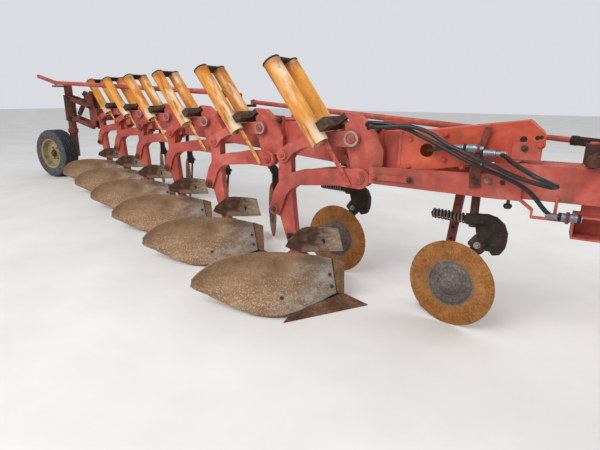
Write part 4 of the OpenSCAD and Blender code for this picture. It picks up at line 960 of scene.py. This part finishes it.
def make_couplers():
    """Collars, dust rings and grips on the quick couplers."""
    rings = Shape()
    for x, z, radius, length in (
            (354, 1046, 21.5, 16), (436, 1027, 21, 14), (806, 754.4, 20.5, 14), (884, 754.4, 20.5, 16)):
        rings.ring(0.012, radius / 1000, length / 1000, 28, pose(x, COUPLER_Y, z, "X"))
    rings.build("coupler_rings", DARK_IRON, sharp=35)
    sleeves = Shape()
    for x, z, radius, length in ((374, 1046, 21.2, 34), (456, 1027, 20.2, 40), (826, 754.4, 20.2, 50)):
        r = radius / 1000
        profile = [(0.012, 0), (r - 0.0015, 0)]
        for k in range(length // 5):
            z0 = 0.001 + k * 0.005
            profile += [(r, z0), (r, z0 + 0.003), (r - 0.0012, z0 + 0.004)]
        profile += [(r - 0.0015, length / 1000), (0.012, length / 1000)]
        sleeves.revolve(profile, 32, pose(x, COUPLER_Y, z, "X"), loop=True)
    sleeves.build("coupler_sleeves", COUPLER, "frame", sharp=35)


make_couplers()


# Bolts by the surface that they sit on: X, Y, Z in millimetres, the way out and the size.
PAINTED_BOLTS = (
    (257, -100, 1102, "-Y", 17), (258, -100, 974, "-Y", 14), (350, -100, 945, "-Y", 17),
    (76, -100, 1070, "-Y", 15), (74, -100, 930, "-Y", 15), (-106, -129, 854, "-Y", 16),
    (690, -105, 1070, "-Y", 13), (257, 100, 1102, "Y", 17), (350, 100, 960, "Y", 17),
    (624, 100, 1056, "Y", 15), (100, 120, 862, "Y", 16),
    (480, 120, 888, "Y", 17), (600, 120, 850, "Y", 15))
DARK_BOLTS = (
    (624, -105, 1056, "-Y", 15), (408, -120, 905, "-Y", 13), (549, -120, 886, "-Y", 12),
    (92, -129, 857, "-Y", 16), (424, -128.6, 880, "-Y", 15))


def make_front_trim():
    """Bolts, plates and knobs on the front frame."""
    for name, rows, material in (("painted", PAINTED_BOLTS, BOX_PAINT), ("dark", DARK_BOLTS, NUT_IRON)):
        bolts = Shape()
        for x, y, z, out, size in rows:
            bolts.bolt(pose(x, y, z, out), size / 1000)
        bolts.build(f"front_bolts_{name}", material)
    nut = Shape()
    nut.bolt(pose(482, -124.5, 888, "-Y"), 0.016)
    nut.build("rail_nut", RIM_CREAM)
    web = Shape()
    web.plate([(0.440, 0.880), (0.650, 0.885), (0.650, 0.985), (0.440, 0.970)], -0.097, -0.091, home_of())
    web.build("front_web", PAINT, "frame", sharp=30)
    plates = Shape()
    for low, high in (((0.464, -0.1245, 0.872), (0.500, -0.1200, 0.904)),
                      ((-0.125, -0.1290, 0.838), (0.110, -0.1203, 0.872)),
                      ((0.570, -0.1050, 1.000), (0.700, -0.1000, 1.085))):
        plates.block(low, high, at=home_of())
    plates.build("front_plates", PAINT, "frame", sharp=30)
    # Dark discs with a lip on the plate: painted shade inside its holes
    hole_shades = Shape()
    for x, z, r in ((615, 1096, 13), (673, 1106, 8), (689, 1109, 6), (674, 1076, 8)):
        r /= 1000
        rim = [(0, 0.0004), (r, 0.0004), (r + 0.002, 0.0012), (r + 0.003, 0)]
        hole_shades.revolve(rim, 24, pose(x, -100, z, "-Y"))
    hole_shades.build("front_holes", DARK_IRON)
    knob = Shape()
    knob.revolve([(0, 0), (0.008, 0), (0.009, 0.018), (0.019, 0.022), (0.021, 0.034), (0.015, 0.043),
                  (0, 0.045)], 24, pose(586, -110, 801, "-Z"))
    knob.build("rail_knob", HOSE, "frame", sharp=40)
    tab = Shape()
    tab.block((0.786, -0.120, 0.7355), (0.800, -0.100, 0.838), at=home_of())
    tab.build("strap_tab", PAINT, "frame", sharp=30)


make_front_trim()


# Ends of the front steering rod, and its adjusting thread, in plough millimetres
IDLER = (-2262.3, 1585.54)
CRANK = (910.0, 0.0)
STEER_ARM = 180.0
FRONT_TURN = math.radians(26.5563)  # of the two arms that hold the rod, from straight left
IDLER_EYE_Z = 1222.0
CRANK_EYE_Z = 1070.0
THREAD_SHARE = 0.80


def make_front_rod():
    """Front steering rod: painted tube, collar, thinner adjusting rod and fork clevis."""
    arm = Vector((math.sin(FRONT_TURN), math.cos(FRONT_TURN), 0)) * STEER_ARM / 1000
    start = pose(*IDLER, IDLER_EYE_Z).translation + arm
    end = pose(*CRANK, CRANK_EYE_Z).translation + arm
    along = (end - start).normalized()
    mid = start + (end - start) * THREAD_SHARE
    tube = Shape()
    tube.sweep([start + along * 0.02, start + along * 0.3, mid - along * 0.3, mid], 0.0225, 24)
    tube.sweep([mid, end - along * 0.150], 0.0150, 20)
    for eye in (start, end):
        tube.ring(0.0132, 0.035, 0.045, 36, Matrix.Translation(eye - Vector((0, 0, 0.0225))))
    tube.build("front_rod_tube", PAINT, "steer_rod_front", sharp=40, replaces=("steer_rod_front",))
    collar = Shape()
    at = aimed(mid - along * 0.03, along)
    collar.revolve([(0.0225, 0), (0.029, 0), (0.031, 0.002), (0.031, 0.046), (0.029, 0.048),
                    (0.0155, 0.048)], 32, at)
    at = aimed(end - along * 0.185, along)
    collar.revolve([(0, 0), (0.026, 0), (0.028, 0.003), (0.028, 0.030), (0.026, 0.033), (0, 0.033)], 6, at)
    collar.block((-0.0300, -0.0210, 0.030), (0.0300, 0.0210, 0.164), at, chamfer=0.005)
    collar.build("front_rod_clevis", DARK_IRON, "steer_rod_front")


make_front_rod()


# Pivots of a bottom as in the part's source, in millimetres
MECH = -55
CHEEK_OUT = 48.3
GOOSE, ROCKER, EAR, HEEL = (-207, 833), (-258, 1056), (-713, 935), (-772, 588)
BEAM_TURN = math.degrees(math.atan2(FURROW, SPACING))
BEAM_FACE_Y = -70


def beam_pose(along, out_of_face, z, out, bottom=0):
    """Matrix beside the beam: along it from x = 0, out of its right face, and Z facing out."""
    turn = math.radians(BEAM_TURN)
    x = -along * math.cos(turn) - out_of_face * math.sin(turn)
    y = BEAM_FACE_Y + along * math.sin(turn) - out_of_face * math.cos(turn)
    return pose(x, y, z, out, bottom, turn=-BEAM_TURN)


def make_bottom_trim():
    """Nuts, pin caps and washers on each bottom."""
    for i in BOTTOMS:
        home = home_of(i)
        inverse = home.inverted()
        nuts = Shape()
        for along in (128, 295):
            for z in (862.7, 1117.3):
                nuts.bolt(inverse @ beam_pose(along, 20.3, z, "-Y", i), 0.0215, grip=0.25)
                nuts.bolt(inverse @ beam_pose(along, -220.3, z, "Y", i), 0.0215, grip=0.25)
        x, z = HEEL
        nuts.bolt(inverse @ pose(x, MECH - CHEEK_OUT - 15.5, z, "-Y", i), 0.019, grip=0.2, washer=False)
        for x, z in ((-420, 70), (-560, 62), (-700, 55)):
            nuts.bolt(inverse @ pose(x, 14, z, "Y", i), 0.013, grip=0.25)
        for x, z in ((-648, 335), (-660, 372)):
            nuts.bolt(inverse @ pose(x, MECH - 28, z, "-Y", i), 0.014, grip=0.3)
        nuts.build(f"bottom_nuts_{i + 1}", NUT_IRON, at=home)
        caps = Shape()
        for (x, z), r in ((GOOSE, 0.022), (ROCKER, 0.026), (EAR, 0.017)):
            for s, out in SIDES:
                at = inverse @ pose(x, MECH + s * (CHEEK_OUT + 15.4), z, out, i)
                caps.revolve([(0, 0), (r, 0), (r, 0.004), (r - 0.004, 0.007), (0.006, 0.008), (0.005, 0.013),
                              (0.002, 0.0135), (0, 0.0135)], 28, at)
        caps.build(f"pin_caps_{i + 1}", PAINT, "frame", home)
        rings = Shape()
        for s, out in SIDES:
            at = inverse @ pose(ROCKER[0], MECH + s * (CHEEK_OUT + 15.3), ROCKER[1], out, i)
            rings.revolve([(0.030, 0), (0.044, 0), (0.044, 0.003), (0.042, 0.0045), (0.032, 0.0045),
                           (0.030, 0.003)], 36, at, loop=True)
        rings.build(f"pin_washers_{i + 1}", BRIGHT, at=home)


make_bottom_trim()


def make_tail_trim():
    """Pin heads, nuts, sleeve bands and the rear rod's bolt on the tail."""
    pins = Shape()
    for x, half, z in ((575, 90, 1103), (460, 78, 1290)):
        for s, out in SIDES:
            pins.bolt(pose(POST[0] + x, POST[1] + s * half, z, out), 0.020, grip=0.1)
    pins.build("tail_pin_nuts", NUT_IRON)
    bands = Shape()
    for z in (886, 1262):
        profile = [(0.0822, 0), (0.089, 0.002), (0.089, 0.010), (0.0822, 0.012)]
        bands.revolve(profile, 48, pose(*POST, z), loop=True)
    bands.build("sleeve_bands", DARK_IRON, "tail_carrier")
    heads = Shape()
    for z in (1228, 931):
        for s, out in SIDES:
            heads.revolve([(0, 0), (0.024, 0), (0.026, 0.002), (0.026, 0.010), (0.022, 0.014),
                           (0, 0.015)], 28, pose(POST[0] + 95, POST[1] + s * 89.5, z, out))
    heads.build("carrier_pin_heads", DARK_IRON, "tail_carrier")
    low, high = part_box("steer_rod_rear")
    tip = Shape()
    eye = moved(low[0] + 0.042, high[1] - 0.020, high[2] - 0.027)
    for s, out in SIDES:
        tip.bolt(eye @ moved(0, s * 0.019, 0) @ OUT[out], 0.014, grip=0.3)
    tip.build("rear_rod_bolt", NUT_IRON, "steer_rod_rear")


make_tail_trim()


def make_stand_trim():
    """Dark discs as painted shade in the adjusting holes, and the drop pin of the parking stand."""
    lean = math.radians(5.6)
    bar = Matrix.Translation(place(0.236, 0.238, 0)) @ Matrix.Rotation(lean, 4, "Y")
    # Dark discs on both faces of the bar: painted shade inside the adjusting holes
    hole_shade_discs = Shape()
    for k in range(6):
        for s, out in SIDES:
            at = bar @ moved(0, s * 0.0250, 0.18 + k * 0.072) @ OUT[out]
            hole_shade_discs.revolve([(0, 0.0002), (0.0085, 0.0002), (0.0098, 0.0004), (0.0108, 0)], 20, at)
    hole_shade_discs.build("stand_holes", DARK_IRON, "parking_stand")
    pin = Shape()
    path = [(-0.055, 0.905), (0.05, 0.905), (0.062, 0.905), (0.070, 0.898), (0.072, 0.885), (0.072, 0.84)]
    pin.sweep([(0, y, z) for y, z in path], 0.007, 12, bar)
    pin.build("stand_pin", NUT_IRON, sharp=50)


make_stand_trim()


def make_stage():
    """Pale floor, soft lamps and a plain world."""
    g = Graph("stage_floor")
    colour = g.ramp(g.noise(1.2, 4), [(0.3, "D9D7D2"), (0.7, "E6E4E0")])
    material = g.close(colour, 0.9, bumps=((g.noise(40, 4), 0.0005),), specular=0.2)
    mesh = bmesh.new()
    size = 40.0
    mesh.faces.new([mesh.verts.new((x * size, y * size, 0)) for x, y in ((-1, -1), (1, -1), (1, 1), (-1, 1))])
    data = bpy.data.meshes.new("floor")
    mesh.to_mesh(data)
    mesh.free()
    floor = bpy.data.objects.new("floor", data)
    floor.location.z = -0.0005
    data.materials.append(material)
    bpy.context.scene.collection.objects.link(floor)
    world = bpy.data.worlds.new("studio")
    bpy.context.scene.world = world
    world.use_nodes = True
    background = world.node_tree.nodes["Background"].inputs
    background["Color"].default_value = (0.93, 0.95, 1.0, 1)
    background["Strength"].default_value = 0.75
    for name, at, aim, size, power in (
            ("key_lamp", (-2.5, -7.0, 7.0), (-1.5, 1.0, 0.5), 6.0, 620),
            ("fill_lamp", (6.0, 4.0, 5.0), (-1.0, 1.0, 0.6), 6.0, 200)):
        data = bpy.data.lights.new(name, "AREA")
        data.size = size
        data.energy = power
        lamp = bpy.data.objects.new(name, data)
        start, end = place(*at), place(*aim)
        lamp.location = start
        lamp.rotation_euler = (end - start).to_track_quat("-Z", "Y").to_euler()
        bpy.context.scene.collection.objects.link(lamp)


make_stage()
bpy.context.scene.view_settings.view_transform = "Standard"
